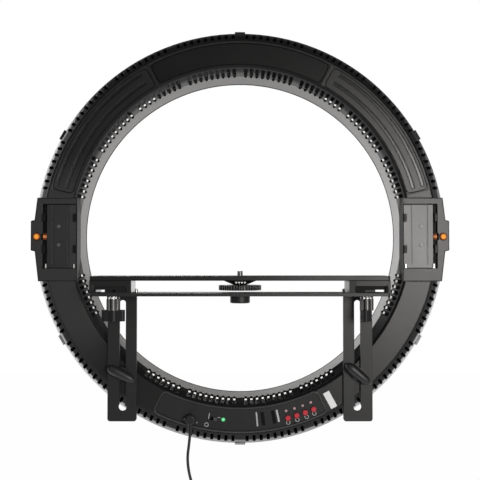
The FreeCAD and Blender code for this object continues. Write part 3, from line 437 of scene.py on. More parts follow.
bay_wall_x = 0.1779
bay_side_start = 0.0003
bay_side_shade = 0.35
right_bay_side_shade = 0.5
release_at = (0.2218, -0.001)
release_shade_r = (0.0047, 0.0041)


def from_release(x, z):
    """The distance from a release button's axis, as a wire."""
    return length_of(abs(x) - release_at[0], z - release_at[1])


# Painted shade: flat black is mixed into the bays' inner side walls, more on the right, and round the holes of the
# release buttons. Their left middle is painted paler as light, as on the housing.
bay_black, place = new_finish("bay_black")
x, y, z = parts_of(place)
grit = place.grain(1700, 3.0)
haze = place.grain(14, 3.0)
bay_side = (abs(x) < bay_wall_x) * (y > back_y + bay_side_start)
bay_side_painted_shade = (bay_side_shade + right_bay_side_shade * (x > 0)) * bay_side
black = haze.between((0.005, 0.005, 0.0053), (0.009, 0.0088, 0.0086))
place.close({"Base Color": left_painted_light(x, z).between(black, (0.0255, 0.0255, 0.0258)),
             "Roughness": 0.35 + 0.06 * haze + 0.06 * (grit - 0.5), "Specular IOR Level": 0.45},
            grit, depth=0.00006, edge=0.0005, dull=bay_side_painted_shade.most(from_release(x, z).fade(*release_shade_r)))
paint(bay_black, "battery_bay_left", "battery_bay_right")

# Vent teeth: half-round black pegs at the deep end of each inner slot, moulded on the housing's hidden edge.
# Behind each one the milky wall has a small tab that fills the end of the slot; the tabs are given a faint glow as
# painted light.
vent_group = 20
vent_pitch = 2
vents_each_side = 4
vent_free_angle = 13.5
arm_free_angles = (119.0, 145.0)
tooth_r = 0.0016
tooth_at_r = 0.1796
tooth_depths = (0.0192, 0.021)
tab_radii = (0.1803, 0.1820)
tab_depths = (0.0178, 0.0186)
tab_width = 0.0025
tab_free = (58.0, 122.0)


def ring_turned_to(radius, angle, depth):
    """The place and turn of a piece on the ring: its X points outwards and its Y towards the light side."""
    turn = math.radians(angle)
    at = Vector((radius * math.cos(turn), back_y + depth, ring_z + radius * math.sin(turn)))
    return Matrix.Translation(at) @ Matrix.Rotation(-turn, 4, "Y")


def add_block(form, where, radial, deep, across, round_by=0.0):
    """Adds a block with rounded edges, turned with its place on the ring."""
    block = bmesh.ops.create_cube(form, size=1.0, matrix=where @ Matrix.Diagonal((radial, deep, across, 1)))
    if round_by:
        edges = list({edge for vert in block["verts"] for edge in vert.link_edges})
        bmesh.ops.bevel(form, geom=edges, offset=round_by, segments=2, profile=0.5, affect="EDGES", material=-1)


vent_angles = [group * vent_group + step * vent_pitch for group in range(360 // vent_group)
               for step in range(-vents_each_side, vents_each_side + 1)]
vent_angles = [angle for angle in vent_angles if abs((angle + 90) % 180 - 90) > vent_free_angle
               and not arm_free_angles[0] < abs((angle + 90) % 360 - 180) < arm_free_angles[1]]
teeth_form = bmesh.new()
tabs_form = bmesh.new()
for angle in vent_angles:
    bmesh.ops.create_cone(teeth_form, cap_ends=True, segments=12, radius1=tooth_r, radius2=tooth_r,
                          depth=tooth_depths[1] - tooth_depths[0],
                          matrix=ring_turned_to(tooth_at_r, angle, sum(tooth_depths) / 2)
                          @ Matrix.Rotation(math.pi / 2, 4, "X"))
    if not tab_free[0] < angle % 360 < tab_free[1]:
        add_block(tabs_form, ring_turned_to(sum(tab_radii) / 2, angle, sum(tab_depths) / 2),
                  tab_radii[1] - tab_radii[0], tab_depths[1] - tab_depths[0], tab_width)
dull_black, place = new_finish("dull_black")
place.close({"Base Color": place.grain(900).between((0.003, 0.003, 0.003), (0.006, 0.006, 0.006)),
             "Roughness": 0.85 + 0.1 * place.grain(400), "Specular IOR Level": 0.12},
            place.grain(3000), depth=0.00005)
add_piece("vent_teeth", teeth_form, dull_black, "ring")

# Milky wall of the hole, with its tabs, and a dark line where the light side's edge shows behind it. Light is
# painted into its colour, paler towards its left and right sides and a little more so on the right.
wall_end = 0.0603
wall_r = 0.18
wall_rim_r = 0.1797
wall_pale = 0.31
side_painted_light = 0.17
right_painted_light = 0.04
milky_wall, place = new_finish("milky_wall")
x, y, z = parts_of(place)
cloud = place.grain(40, 3.0)
rim = (y > back_y + wall_end) * (ring_radius(place) < wall_rim_r)
aside = x * (1 / wall_r)
wall_painted_light = wall_pale + right_painted_light * aside + side_painted_light * aside * aside + 0.04 * cloud
place.close({"Base Color": wall_painted_light.between((0.0, 0.0, 0.0), (0.87, 0.84, 0.826)), "Roughness": 0.42 + 0.1 * cloud,
             "Specular IOR Level": 0.4, "Subsurface Weight": 0.25, "Subsurface Scale": 0.004,
             "Subsurface Radius": (1.0, 1.0, 1.0)}, place.grain(700), depth=0.00002, dull=0.9 * rim)
paint(milky_wall, "inner_wall")
# Painted light: the tabs glow faintly.
tab_milk, place = new_finish("tab_milk")
place.close({"Base Color": place.grain(200).between((0.8, 0.79, 0.78), (0.88, 0.87, 0.86)),
             "Roughness": 0.4 + 0.1 * place.grain(900), "Emission Color": (1.0, 0.99, 0.98),
             "Emission Strength": 0.35})
add_piece("wall_tabs", tabs_form, tab_milk, "ring", smooth=False)

# Painted shade: a flat dull black ring inside the housing, which stands for the shade behind the outer vents and
# keeps the lamp board out of sight there.
shade_ring_radii = (0.2135, 0.2276)
shade_ring_y = (0.0622, 0.0634)


def weld(form):
    """Joins corners that lie on each other and turns the faces outwards."""
    bmesh.ops.remove_doubles(form, verts=form.verts, dist=1e-6)
    bmesh.ops.recalc_face_normals(form, faces=form.faces)


shade_ring_form = bmesh.new()
shade_ring_corners = [shade_ring_form.verts.new((radius, depth, 0)) for radius in shade_ring_radii for depth in shade_ring_y]
shade_ring_face = shade_ring_form.faces.new([shade_ring_corners[n] for n in (0, 1, 3, 2)])
bmesh.ops.spin(shade_ring_form, geom=[shade_ring_face], cent=(0, 0, 0), axis=(0, 1, 0), angle=2 * math.pi, steps=180,
               use_merge=True)
bmesh.ops.delete(shade_ring_form, geom=[shade_ring_face], context="FACES_ONLY")
weld(shade_ring_form)
bmesh.ops.translate(shade_ring_form, vec=(0, 0, ring_z), verts=shade_ring_form.verts)
add_piece("vent_shade_ring", shade_ring_form, dull_black, "ring", smooth=False)

# Control panel and name plate: matt black sheets in the recesses. The name plate stays bare. The name plate on top is
# painted darker and the control panel below paler, as shade and light.
name_plate_shade = 0.12
sheet_black, place = new_finish("panel_black")
x, y, z = parts_of(place)
grit = place.grain(2600, 2.0)
haze = place.grain(22, 2.0)
place.close({"Base Color": (z < 0).between(haze.between((0.004, 0.004, 0.0042), (0.007, 0.007, 0.0072)),
                                            haze.between((0.017, 0.0167, 0.017), (0.0225, 0.0222, 0.0225))),
             "Roughness": 0.34 + 0.06 * haze + 0.05 * grit, "Specular IOR Level": 0.22}, grit, depth=0.00003,
            edge=0.0003, dull=name_plate_shade * (z > 0))
paint(sheet_black, "top_plate", "control_panel")

# Seams and rims: the shadow gaps round the name plate, the grooved panels and the battery bays, and the raised
# bead that the housing has round the control panel.
seam_black, place = new_finish("seam_black")
place.close({"Base Color": place.grain(100).between((0.002, 0.002, 0.002), (0.004, 0.004, 0.004)),
             "Roughness": 0.8 + 0.1 * place.grain(900), "Specular IOR Level": 0.1})
bead_black, place = new_finish("bead_black")
place.close({"Base Color": place.grain(60).between((0.026, 0.026, 0.027), (0.04, 0.04, 0.041)),
             "Roughness": 0.26 + 0.08 * place.grain(900), "Specular IOR Level": 0.5})


def ring_loop(inner_r, outer_r, start, end, depth):
    """The control points of a closed line round a panel of the ring, 3 degrees or a little more apart."""
    count = int((end - start) / 3.0)
    angles = [start + (end - start) * n / count for n in range(count + 1)]
    middle = (inner_r + outer_r) / 2
    path = [(outer_r, angle) for angle in angles] + [(middle, end)]
    path += [(inner_r, angle) for angle in reversed(angles)] + [(middle, start)]
    return [ring_turned_to(radius, angle, depth).translation for radius, angle in path]


def add_line(name, loops, line_r, finish, order=3):
    """Closed round beads along loops of control points."""
    curve = bpy.data.curves.new(name, "CURVE")
    curve.dimensions = "3D"
    curve.bevel_depth = line_r
    curve.bevel_resolution = 2
    curve.resolution_u = 4
    for points in loops:
        line = curve.splines.new("NURBS" if order > 2 else "POLY")
        line.points.add(len(points) - 1)
        for point, at in zip(line.points, points):
            point.co = (*at, 1.0)
        if order > 2:
            line.order_u = order
        line.use_cyclic_u = True
    curve.materials.append(finish)
    piece = bpy.data.objects.new(name, curve)
    bpy.context.scene.collection.objects.link(piece)
    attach(piece, "ring")


def mirrored_points(points):
    return [Vector((-at.x, at.y, at.z)) for at in points]


seam_r = 0.0004
bead_r = 0.0009
seam_radii = (0.1885, 0.2117)
name_plate_loop = ring_loop(*seam_radii, 62.3, 117.7, 0.0005)
groove_loop = ring_loop(*seam_radii, 14.1, 60.7, 0.0004)
control_loop = ring_loop(0.1876, 0.2133, 243.7, 296.3, 0.0003)
add_line("panel_seams", [name_plate_loop, groove_loop, mirrored_points(groove_loop)], seam_r, seam_black)
add_line("control_rim", [control_loop], bead_r, bead_black)
bay_inner_x = 0.1777
bay_seam_depth = 0.0002
bay_corners = ((0.0006, 0.0409), (0.036, 0.0409), (0.0431, 0.0409), (0.046, 0.0167), (0.0501, 0.0155),
               (0.0501, -0.0154), (0.0457, -0.0166), (0.0419, -0.0492), (0.036, -0.0492), (0.0006, -0.0492))
bay_loop = [Vector((bay_inner_x + x, back_y + bay_seam_depth, ring_z + z)) for x, z in bay_corners]
add_line("bay_seams", [bay_loop, mirrored_points(bay_loop)], seam_r, seam_black, order=2)

# Light side: a satin black frame, a milky diffuser with the lamps faint behind it, and clear clips on the rim, the
# lower of which are painted paler as light.
frame_black, place = new_finish("frame_black")
speck = place.grain(1200)
place.close({"Base Color": place.grain(20).between((0.01, 0.0103, 0.011), (0.016, 0.0163, 0.0175)),
             "Roughness": 0.3 + 0.1 * speck, "Specular IOR Level": 0.45}, speck, depth=0.00002, edge=0.0005)
paint(frame_black, "front_frame")

lamp_rows = (0.19, 0.223)
lamp_row_pitch = 0.011
lamps_in_row = 64
lamp_spot = (0.46, 0.12)
diffuser_edge_r = 0.2286
diffuser_milk, place = new_finish("diffuser_milk")
x, y, z = parts_of(place)
turn = place.maths("ARCTAN2", z, x) * (lamps_in_row / (2 * math.pi))
row = (ring_radius(place) - lamp_rows[0]) * (1 / lamp_row_pitch)
row_near = row - place.maths("ROUND", row)
across = turn - 0.5 * place.maths("ROUND", row)
across_near = across - place.maths("ROUND", across)
spot = length_of(across_near, row_near).fade(*lamp_spot)
place.close({"Base Color": spot.between((0.74, 0.74, 0.73), (0.84, 0.81, 0.7)),
             "Roughness": 0.42 + 0.08 * place.grain(60), "Specular IOR Level": 0.45}, place.grain(1500),
            depth=0.00003, dull=ring_radius(place) > diffuser_edge_r)
paint(diffuser_milk, "front_diffuser")

clear_clip, place = new_finish("clear_clip")
low = parts_of(place)[2].fade(*rim_light_z)
# Painted light: the clips are set paler towards the bottom.
place.close({"Base Color": low.between((0.014, 0.0145, 0.015), (0.34, 0.35, 0.37)),
             "Roughness": 0.45 + 0.1 * place.grain(900), "Transmission Weight": 0.1, "IOR": 1.49,
             "Specular IOR Level": 0.25})
paint(clear_clip, "rim_clips")

# Inside the housing: a rolled aluminium heat spreader, the white lamp board with its warm and cool lamps, the
# driver board with its parts, zinc-plated screws and brass inserts for the clamp levers.
rolled, place = new_finish("rolled_aluminium")
lines = place.grain(400, 3.0, (1.0, 1.0, 0.06))
place.close({"Base Color": lines.between((0.55, 0.56, 0.57), (0.68, 0.69, 0.7)), "Metallic": 1.0,
             "Roughness": 0.32 + 0.2 * lines}, lines, depth=0.00002)
paint(rolled, "heat_spreader")

white_mask, place = new_finish("white_solder_mask")
print_grain = place.grain(500)
place.close({"Base Color": print_grain.between((0.74, 0.75, 0.73), (0.82, 0.83, 0.81)),
             "Roughness": 0.35 + 0.1 * print_grain}, print_grain, depth=0.00002)
paint(white_mask, "led_board")


def phosphor(name, low, high):
    """The soft yellow face of a lamp."""
    finish, place = new_finish(name)
    powder = place.grain(4000)
    place.close({"Base Color": powder.between(low, high), "Roughness": 0.4 + 0.2 * powder}, powder, depth=0.00003)
    return finish


paint(phosphor("warm_phosphor", (0.75, 0.5, 0.12), (0.85, 0.6, 0.18)), "warm_leds")
paint(phosphor("cool_phosphor", (0.78, 0.72, 0.3), (0.86, 0.82, 0.42)), "cool_leds")

green_mask, place = new_finish("green_solder_mask")
print_grain = place.grain(700)
place.close({"Base Color": print_grain.between((0.015, 0.09, 0.04), (0.03, 0.14, 0.06)),
             "Roughness": 0.3 + 0.1 * print_grain}, print_grain, depth=0.00002)
paint(green_mask, "driver_board")

moulded_parts, place = new_finish("electronic_parts")
speck = place.grain(1500)
place.close({"Base Color": speck.between((0.02, 0.02, 0.024), (0.05, 0.05, 0.055)),
             "Roughness": 0.4 + 0.15 * speck}, speck, depth=0.00003)
paint(moulded_parts, "driver_parts")


def plated(name, low, high):
    """A plated or turned metal, with fine tool lines."""
    finish, place = new_finish(name)
    lines = place.grain(2200, 2.0, (1.0, 1.0, 0.2))
    place.close({"Base Color": lines.between(low, high), "Metallic": 1.0, "Roughness": 0.28 + 0.16 * lines},
                lines, depth=0.00002)
    return finish


zinc = plated("zinc_plate", (0.5, 0.5, 0.5), (0.62, 0.62, 0.61))
brass = plated("turned_brass", (0.55, 0.4, 0.18), (0.68, 0.52, 0.26))
paint(zinc, "housing_screws", "release_spring_left", "release_spring_right", "rail_screws",
      "arm_stud_left", "arm_stud_right", "clamp_stud_left", "clamp_stud_right")
paint(brass, "clamp_inserts")

# Battery contacts: dark blades, of which only the middle is bare metal.
contact_x = (0.2117, 0.1809)
contact_z = -0.033
contact_half = (0.0006, 0.0021)
bright_contact, place = new_finish("bright_contact")
lines = place.grain(1800)
x, y, z = parts_of(place)
tip = place.maths("MAXIMUM", *(abs(abs(x) - middle) < contact_half[0] for middle in contact_x))
tip = tip * (abs(z - contact_z) < contact_half[1])
bare = lines.between((0.66, 0.66, 0.64), (0.8, 0.8, 0.78))
place.close({"Base Color": tip.between((0.03, 0.03, 0.03), bare), "Metallic": 0.25 * tip,
             "Roughness": 0.25 + 0.1 * lines})
paint(bright_contact, "battery_contacts")


# Controls: four red push keys with their lenses, the lit power lens, the slide switch and two dark windows.
def gloss(name, low, high, roughness):
    """A glossy moulded cap or lens."""
    finish, place = new_finish(name)
    tint = place.grain(500)
    place.close({"Base Color": tint.between(low, high), "Roughness": roughness + 0.08 * tint},
                place.grain(1800), depth=0.00002)
    return finish


key_count = 4
key_first_angle = 284.75
key_pitch = 2.75
key_at_r = 0.2048
key_shading_r = (0.0016, 0.0031)


def off_centre(place, radius, angle):
    """The distance from the axis of a control at a place on the ring, as a wire."""
    turn = math.radians(angle)
    x, y, z = parts_of(place)
    return length_of(x - radius * math.cos(turn), z - radius * math.sin(turn))


# Painted light and shade: each key is pale red in its middle and dark red at its rim, as on a lit dome.
for n in range(key_count):
    key_red, place = new_finish("key_red_%d" % (n + 1))
    dome_shading = off_centre(place, key_at_r, key_first_angle + n * key_pitch).fade(*key_shading_r)
    place.close({"Base Color": dome_shading.between((0.47, 0.011, 0.028), (0.16, 0.003, 0.008)),
                 "Roughness": 0.32 + 0.08 * place.grain(500)}, place.grain(1800), depth=0.00002)
    paint(key_red, "red_button_%d" % (n + 1))
paint(gloss("lens_pink", (0.34, 0.22, 0.23), (0.42, 0.28, 0.29), 0.25), "indicator_leds")
paint(gloss("window_dark", (0.002, 0.002, 0.0025), (0.004, 0.004, 0.0045), 0.1), "display_windows")
paint(gloss("switch_grey", (0.03, 0.034, 0.04), (0.05, 0.055, 0.062), 0.35), "power_switch")
lens_at_r = 0.2005
lens_angle = 264.8
lens_core_r = (0.0024, 0.0006)
lit_green, place = new_finish("lens_green_lit")
core = off_centre(place, lens_at_r, lens_angle).fade(*lens_core_r)
glow_colour = core.between((0.01, 0.22, 0.07), (0.22, 0.78, 0.36))
place.close({"Base Color": glow_colour, "Emission Color": glow_colour, "Emission Strength": 0.3,
             "Roughness": 0.2 + 0.05 * place.grain(900)})
paint(lit_green, "power_led")

# Printed marks on the control panel: plain rings beside the keys, a ring beside the switch and short ticks.
# Two satin silver bars flank the windows. A blank white label lies to the right of the panel.
panel_depth = 0.0008
print_thick = 0.0001
ring_marks = ((2.4, 284.5), (2.5, 287.3), (2.3, 290.2), (2.7, 292.7), (3.6, 259.95))
ring_mark_r = (0.0017, 0.0023)
tick_marks = ((3.5, 253.1, 0.0016, 0.0007), (3.7, 257.0, 0.0016, 0.0007), (13.3, 260.25, 0.0062, 0.0007),
              (13.0, 263.4, 0.0007, 0.003))
mark_white, place = new_finish("mark_white")
place.close({"Base Color": place.grain(2500).between((0.36, 0.35, 0.36), (0.46, 0.45, 0.46)),
             "Roughness": 0.5 + 0.1 * place.grain(900)})
marks_form = bmesh.new()
for inwards, angle in ring_marks:
    where = ring_turned_to(plate_outer_r - inwards / 1000, angle, panel_depth - print_thick)
    start = where @ Matrix.Translation((ring_mark_r[0], 0, 0))
    width = ring_mark_r[1] - ring_mark_r[0]
    verts = [marks_form.verts.new(start @ Vector(corner)) for corner in
             ((0, 0, 0), (width, 0, 0), (width, print_thick * 2, 0), (0, print_thick * 2, 0))]
    face = marks_form.faces.new(verts)
    axis = where.to_3x3() @ Vector((0, 1, 0))
    bmesh.ops.spin(marks_form, geom=[face] + list(face.edges) + verts, cent=where.translation, axis=axis,
                   angle=2 * math.pi, steps=24, use_merge=True)
for inwards, angle, radial, across in tick_marks:
    add_block(marks_form, ring_turned_to(plate_outer_r - inwards / 1000, angle, panel_depth), radial,
              print_thick * 2, across)
weld(marks_form)
add_piece("panel_marks", marks_form, mark_white, "ring", smooth=False)

bar_places = ((11.8, 275.25, 0.0155, 0.0017), (12.1, 281.85, 0.0132, 0.0021))
bar_thick = 0.0008
bar_round = 0.0002
silver, place = new_finish("satin_silver")
lines = place.grain(900, 2.0, (1.0, 1.0, 0.1))
place.close({"Base Color": lines.between((0.42, 0.41, 0.42), (0.55, 0.54, 0.55)), "Metallic": 0.6,
             "Roughness": 0.34 + 0.12 * lines})
bars_form = bmesh.new()
for inwards, angle, radial, across in bar_places:
    add_block(bars_form, ring_turned_to(plate_outer_r - inwards / 1000, angle, panel_depth), radial, bar_thick,
              across, bar_round)
add_piece("window_bars", bars_form, silver, "ring", smooth=False)

label_at_r = 0.2034
label_angle = 298.75
label_size = (0.0188, 0.0002, 0.0073)
label_round = 0.00008
label_white, place = new_finish("label_white")
place.close({"Base Color": place.grain(400).between((0.66, 0.66, 0.67), (0.72, 0.72, 0.73)),
             "Roughness": 0.55 + 0.1 * place.grain(900)}, place.grain(1500), depth=0.00001)
label_form = bmesh.new()
add_block(label_form, ring_turned_to(label_at_r, label_angle, 0.0), *label_size, label_round)
add_piece("bare_label", label_form, label_white, "ring", smooth=False)

# Battery plates: charcoal moulded plates with four hooks, two pale keys and a channel along their outer side, which
# is painted dark as shade.
# The release buttons and latches are orange, painted pale in their middles and dark at their edges as light and
# shade.
channel_x = 0.2109
border_x = 0.1791
border_z = (-0.0349, 0.0337)
band_x = 0.187
key_at = (0.198, 0.0101)
key_r = 0.0019
channel_shade = 0.95
hook_dull = 0.8
border_dull = 0.9
hook_level = back_y + 0.0008
key_level = back_y + 0.0009
face_level = back_y + 0.0011
channel_level = back_y + 0.0012
plate_grey, place = new_finish("plate_charcoal")
x, y, z = parts_of(place)
grit = place.grain(2000, 2.0)
haze = place.grain(30, 2.0)
keys = (length_of(abs(x) - key_at[0], abs(z) - key_at[1]) < key_r) * (y < key_level)
border = (abs(x) < border_x).most(z > border_z[1], z < border_z[0])
# Painted shade: flat black is mixed into the channel.
channel = (abs(x) > channel_x) * (y > channel_level)
hooks = (y < hook_level) * (1.0 - keys)
inner_band = (abs(x) < band_x) * y.within(key_level, face_level)
tint = haze.between((0.009, 0.009, 0.0105), (0.015, 0.015, 0.0165))
tint = (0.6 * inner_band).between(tint, (0.026, 0.026, 0.027))
place.close({"Base Color": keys.between(tint, (0.08, 0.078, 0.08)),
             "Roughness": 0.33 + 0.06 * haze + 0.05 * grit, "Specular IOR Level": 0.72}, grit, depth=0.00004,
            edge=0.0003, dull=(channel_shade * channel).most(hook_dull * hooks, border_dull * border))
paint(plate_grey, "battery_plate_left", "battery_plate_right")

# Painted light and shade: a pale middle and dark rim on the caps, and a pale middle band on the latches.
cap_shading_r = (0.0014, 0.0036)
latch_shading_z = (0.0006, 0.002)
orange_cap, place = new_finish("orange_cap")
x, y, z = parts_of(place)
dome_shading = from_release(x, z).fade(*cap_shading_r)
place.close({"Base Color": dome_shading.between((0.96, 0.38, 0.05), (0.26, 0.05, 0.004)),
             "Roughness": 0.5 + 0.08 * place.grain(500), "Specular IOR Level": 0.2},
            place.grain(1800), depth=0.00002)
paint(orange_cap, "release_button_left", "release_button_right")
latch_orange, place = new_finish("latch_orange")
x, y, z = parts_of(place)
dome_shading = abs(z - release_at[1]).fade(*latch_shading_z)
place.close({"Base Color": dome_shading.between((0.6, 0.22, 0.07), (0.11, 0.026, 0.006)),
             "Roughness": 0.5 + 0.08 * place.grain(500), "Specular IOR Level": 0.15},
            place.grain(1800), depth=0.00002)
paint(latch_orange, "latch_left", "latch_right")

# Bracket and arms: laser-cut steel plates, bent and powder coated in fine matt black. The coating rounds their edges.
# The end brackets' flanges towards the ring's middle catch the light, and their hems and inner corners lie in shade,
# as do the line above their windows and the left part of the upper rail.
coat_edge = 0.0004
nut_edge = 0.0006
flange_x = (0.1128, 0.1134)
flange_z = (0.0112, 0.0239)
window_bar_x = (0.1496, 0.1504)
bracket_face_y = -0.0155
hem_x = (0.1197, 0.1537)
hem_top_z = 0.0187
hem_dull = 0.5
right_hem_dull = 0.35
left_dull = 0.3
corner_x = (0.1225, 0.1195)
corner_dull = 0.4
rail_line_z = (0.0237, 0.0247)
rail_line_dull = 0.8
rail_dark_x = (0.09, -0.02)
rail_dull = 0.4


def softened(finish, body, slot, edge, *nodes):
    """Carried-over pieces with their sharp edges rounded a little."""
    for node in nodes:
        form = bmesh.new()
        form.from_mesh(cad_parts[node].data)
        bmesh.ops.remove_doubles(form, verts=form.verts, dist=1e-6)
        bmesh.ops.dissolve_limit(form, angle_limit=math.radians(0.5), verts=form.verts, edges=form.edges)
        piece = add_piece(node + "_finished", form, finish, body)
        rounding = piece.modifiers.new("rounding", "BEVEL")
        rounding.limit_method = "ANGLE"
        rounding.angle_limit = math.radians(40)
        rounding.width = edge
        rounding.segments = 2
        rounding.harden_normals = True
        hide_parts(node)


powder_coat, place = new_finish("powder_coat")
x = place.node("SeparateXYZ", {}, {"Vector": place})
y = x.other("Y")
z = x.other("Z")
aside = abs(x)
peel = place.grain(1300, 2.0)
haze = place.grain(25, 3.0)
outer_face = y < bracket_face_y
window_bar = aside.within(*window_bar_x)
flange = aside.within(*flange_x).most(window_bar) * z.within(*flange_z) * (y > bracket_face_y)
hem_shade = (hem_dull + right_hem_dull * (x > 0)) * aside.within(*hem_x) * (z < hem_top_z)
shade = hem_shade.most(left_dull * (x < 0), corner_dull * aside.fade(*corner_x))
shade = (aside > flange_x[1]) * z.within(*flange_z) * outer_face * shade
rail_shade = rail_dull * x.fade(*rail_dark_x) * (z > flange_z[0])
rail_shade = outer_face * rail_shade.most(rail_line_dull * z.within(*rail_line_z))
black = haze.between((0.0085, 0.0085, 0.0088), (0.0135, 0.0135, 0.0137))
left_bright = window_bar.between((0.55, 0.54, 0.53), (0.9, 0.89, 0.88))
bright = (x > 0).between(left_bright, window_bar.between((0.24, 0.237, 0.234), (0.4, 0.395, 0.39)))
place.close({"Base Color": flange.between(black, bright),
             "Roughness": 0.4 + 0.1 * haze + 0.08 * (peel - 0.5), "Specular IOR Level": 0.42,
             "Coat Weight": flange * window_bar.most(x < 0), "Coat Roughness": 0.08},
            peel, depth=0.00005, dull=shade.most(rail_shade))
softened(powder_coat, "bracket", "black_paint", coat_edge, "camera_rail", "stand_rail", "end_bracket_left",
         "end_bracket_right", "stand_socket")
softened(powder_coat, "arms", "black_paint", coat_edge, "arm_left", "arm_right")
black_oxide, place = new_finish("black_oxide")
lines = place.grain(900, 2.0)
place.close({"Base Color": lines.between((0.012, 0.012, 0.013), (0.022, 0.022, 0.023)), "Metallic": 0.3,
             "Roughness": 0.35 + 0.15 * lines}, lines, depth=0.00003)
softened(black_oxide, "arms", "black_steel", nut_edge, "arm_nuts")

# Baffles: thin black plates behind the inner and upper part of each bracket's window, which hide the stud and nut.
baffle_y = (-0.0174, -0.0162)
baffle_boxes = ((0.1192, 0.1298, 0.0112, 0.0238), (0.1298, 0.1512, 0.0146, 0.0238))
baffle_form = bmesh.new()
for sign, (near_x, far_x, low_z, high_z) in [(sign, box) for sign in (-1, 1) for box in baffle_boxes]:
    low = Vector((sign * near_x, baffle_y[0], low_z))
    high = Vector((sign * far_x, baffle_y[1], high_z))
    bmesh.ops.create_cube(baffle_form, size=1.0, matrix=Matrix.Translation((low + high) / 2) @ Matrix.Diagonal(
        (abs(high.x - low.x), high.y - low.y, high.z - low.z, 1)))
add_piece("window_baffles", baffle_form, powder_coat, "bracket", smooth=False)

# Arm knobs: satin black nylon with chrome ribs round the sleeve, and a ring of nickel balls above them that lets the
# knob click as it turns.
sleeve_z = (-0.0077, 0.0042)
ball_r = 0.00125
ball_ring_r = 0.0058
ball_count = 10
rib_r = 0.0022
rib_ring_r = 0.0051
rib_count = 8
rib_first_angles = {"left": 8, "right": -5}
knob_x = 0.134


def round_axis(middle_x, radius, turn, height):
    """A place at a turn round an upright axis."""
    return Matrix.Translation((middle_x + radius * math.cos(turn), radius * math.sin(turn), height))


# Painted shade: the sleeve band between the chrome ribs is set darker than the rest of the knob.
knob_finish, place = new_finish("knob_black")
z = place.node("SeparateXYZ", {}, {"Vector": place}, output="Z")
speck = place.grain(900)
place.close({"Base Color": z.within(*sleeve_z).between((0.009, 0.009, 0.0095), (0.004, 0.004, 0.004)),
             "Roughness": 0.42 + 0.08 * speck, "Specular IOR Level": 0.3}, speck, depth=0.00002, edge=0.0003)
chrome, place = new_finish("rib_chrome")
place.close({"Base Color": place.grain(500).between((0.2, 0.194, 0.186), (0.25, 0.243, 0.235)), "Metallic": 0.7,
             "Roughness": 0.42 + 0.06 * place.grain(300)})
# Painted light: the nickel balls have a pale base and a faint glow for their glints.
nickel, place = new_finish("nickel_balls")
place.close({"Base Color": place.grain(900).between((0.86, 0.86, 0.85), (0.94, 0.94, 0.93)), "Metallic": 0.35,
             "Roughness": 0.22 + 0.05 * place.grain(300), "Emission Color": (1.0, 1.0, 0.98),
             "Emission Strength": 0.22})
paint(knob_finish, "arm_knob_left", "arm_knob_right")
for side, middle_x in (("left", -knob_x), ("right", knob_x)):
    ribs_form = bmesh.new()
    for n in range(rib_count):
        turn = math.radians(rib_first_angles[side] + 360 * n / rib_count - 90)
        bmesh.ops.create_cone(ribs_form, cap_ends=True, segments=20, radius1=rib_r, radius2=rib_r,
                              depth=sleeve_z[1] - sleeve_z[0],
                              matrix=round_axis(middle_x, rib_ring_r, turn, sum(sleeve_z) / 2))
    add_piece("knob_ribs_" + side, ribs_form, chrome, "arm_knob_" + side)
    balls_form = bmesh.new()
    for n in range(ball_count):
        turn = 2 * math.pi * (n / ball_count - 0.25)
        bmesh.ops.create_icosphere(balls_form, subdivisions=2, radius=ball_r,
                                   matrix=round_axis(middle_x, ball_ring_r, turn, sleeve_z[1] + ball_r))
    add_piece("knob_balls_" + side, balls_form, nickel, "arm_knob_" + side)

# Camera knob, collar and screw: a knurled nylon disc, a dished collar with nickel balls in its rim, and the
# zinc-plated quarter-inch screw with its thread.
nylon = gloss("nylon_black", (0.009, 0.009, 0.0095), (0.014, 0.014, 0.0145), 0.32)
paint(nylon, "camera_knob", "camera_collar")
collar_balls = (-0.0039, -0.0009, 0.002, 0.0051)
collar_ball_r = 0.0012
collar_ball_z = 0.0221
collar_ball_at_r = 0.0139
balls_form = bmesh.new()
for half_turn in (0.0, math.pi):
    for across in collar_balls:
        turn = half_turn - math.pi / 2 + math.asin(across / collar_ball_at_r)
        bmesh.ops.create_icosphere(balls_form, subdivisions=2, radius=collar_ball_r,
                                   matrix=round_axis(0.0, collar_ball_at_r, turn, collar_ball_z))
add_piece("collar_balls", balls_form, nickel, "camera_carriage")

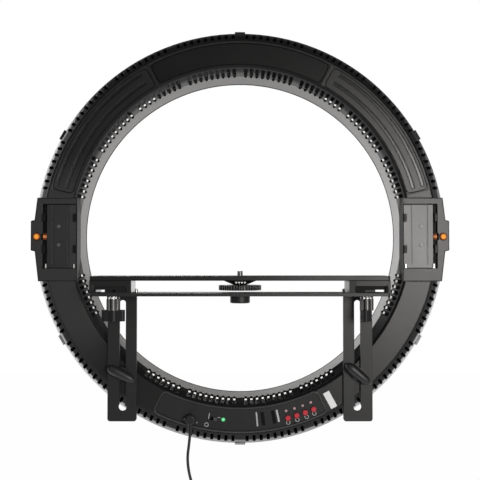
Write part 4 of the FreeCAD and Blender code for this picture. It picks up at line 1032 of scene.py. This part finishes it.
screw_low, screw_top = 0.0137, 0.0338
thread_start = 0.0245
thread_pitch = 0.00127
thread_outer_r = 0.003175
thread_root_r = 0.0025
thread_corners = ((thread_root_r, 0.1), (thread_outer_r, 0.5), (thread_outer_r, 0.6))
shank_r = 0.003
profile = [(0.0, screw_low), (shank_r, screw_low), (shank_r, thread_start)]
for n in range(int((screw_top - thread_start) / thread_pitch)):
    profile += [(radius, thread_start + (n + part) * thread_pitch) for radius, part in thread_corners]
profile += [(thread_root_r, screw_top), (0.0, screw_top)]
screw_form = bmesh.new()
verts = [screw_form.verts.new((r, 0, z)) for r, z in profile]
edges = [screw_form.edges.new(pair) for pair in zip(verts, verts[1:])]
bmesh.ops.spin(screw_form, geom=verts + edges, cent=(0, 0, 0), axis=(0, 0, 1), angle=2 * math.pi, steps=40,
               use_merge=True)
weld(screw_form)
tripod_screw = add_piece("tripod_screw", screw_form, zinc, "camera_screw_knob")
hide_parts("camera_screw")

# Clamp levers: glossy black nylon, shaped like an almond over a round hub, on studs in the housing's inserts.
lever_nylon = gloss("nylon_satin", (0.008, 0.008, 0.0085), (0.012, 0.012, 0.0125), 0.4)
lever_half = (0.0165, 0.0046, 0.00525)
lever_mid_y = 0.0134
lever_hub_r = 0.007
lever_hub_y = (0.0165, 0.0214)
lever_centre = (0.1272, -0.076987)
lever_fullest = 1.6
lever_taper = 0.12
for side, sign, tilt in (("left", -1, -27.0), ("right", 1, -40.0)):
    lever_form = bmesh.new()
    blade = bmesh.ops.create_uvsphere(lever_form, u_segments=32, v_segments=24, radius=1.0,
                                      matrix=Matrix.Rotation(math.pi / 2, 4, "Y"))
    for vert in blade["verts"]:
        lengthwise, deep, across = vert.co
        full = (1.0 - lengthwise ** 4) ** 0.5 / max((1.0 - lengthwise ** 2) ** 0.5, 1e-3)
        full = min(full, lever_fullest) * (1.0 - lever_taper * lengthwise)
        vert.co = (lengthwise, deep * full, across * full)
    bmesh.ops.scale(lever_form, vec=lever_half, verts=blade["verts"])
    bmesh.ops.translate(lever_form, vec=(0, lever_mid_y, 0), verts=blade["verts"])
    bmesh.ops.create_cone(lever_form, cap_ends=True, segments=40, radius1=lever_hub_r, radius2=lever_hub_r,
                          depth=lever_hub_y[1] - lever_hub_y[0], matrix=Matrix.Translation(
                              (0, sum(lever_hub_y) / 2, 0)) @ Matrix.Rotation(math.pi / 2, 4, "X"))
    bmesh.ops.transform(lever_form, verts=lever_form.verts, matrix=Matrix.Translation(
        (sign * lever_centre[0], 0, lever_centre[1])) @ Matrix.Rotation(math.radians(-tilt), 4, "Y"))
    lever = add_piece("lever_" + side, lever_form, lever_nylon, "clamp_lever_" + side)
    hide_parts("clamp_lever_" + side)
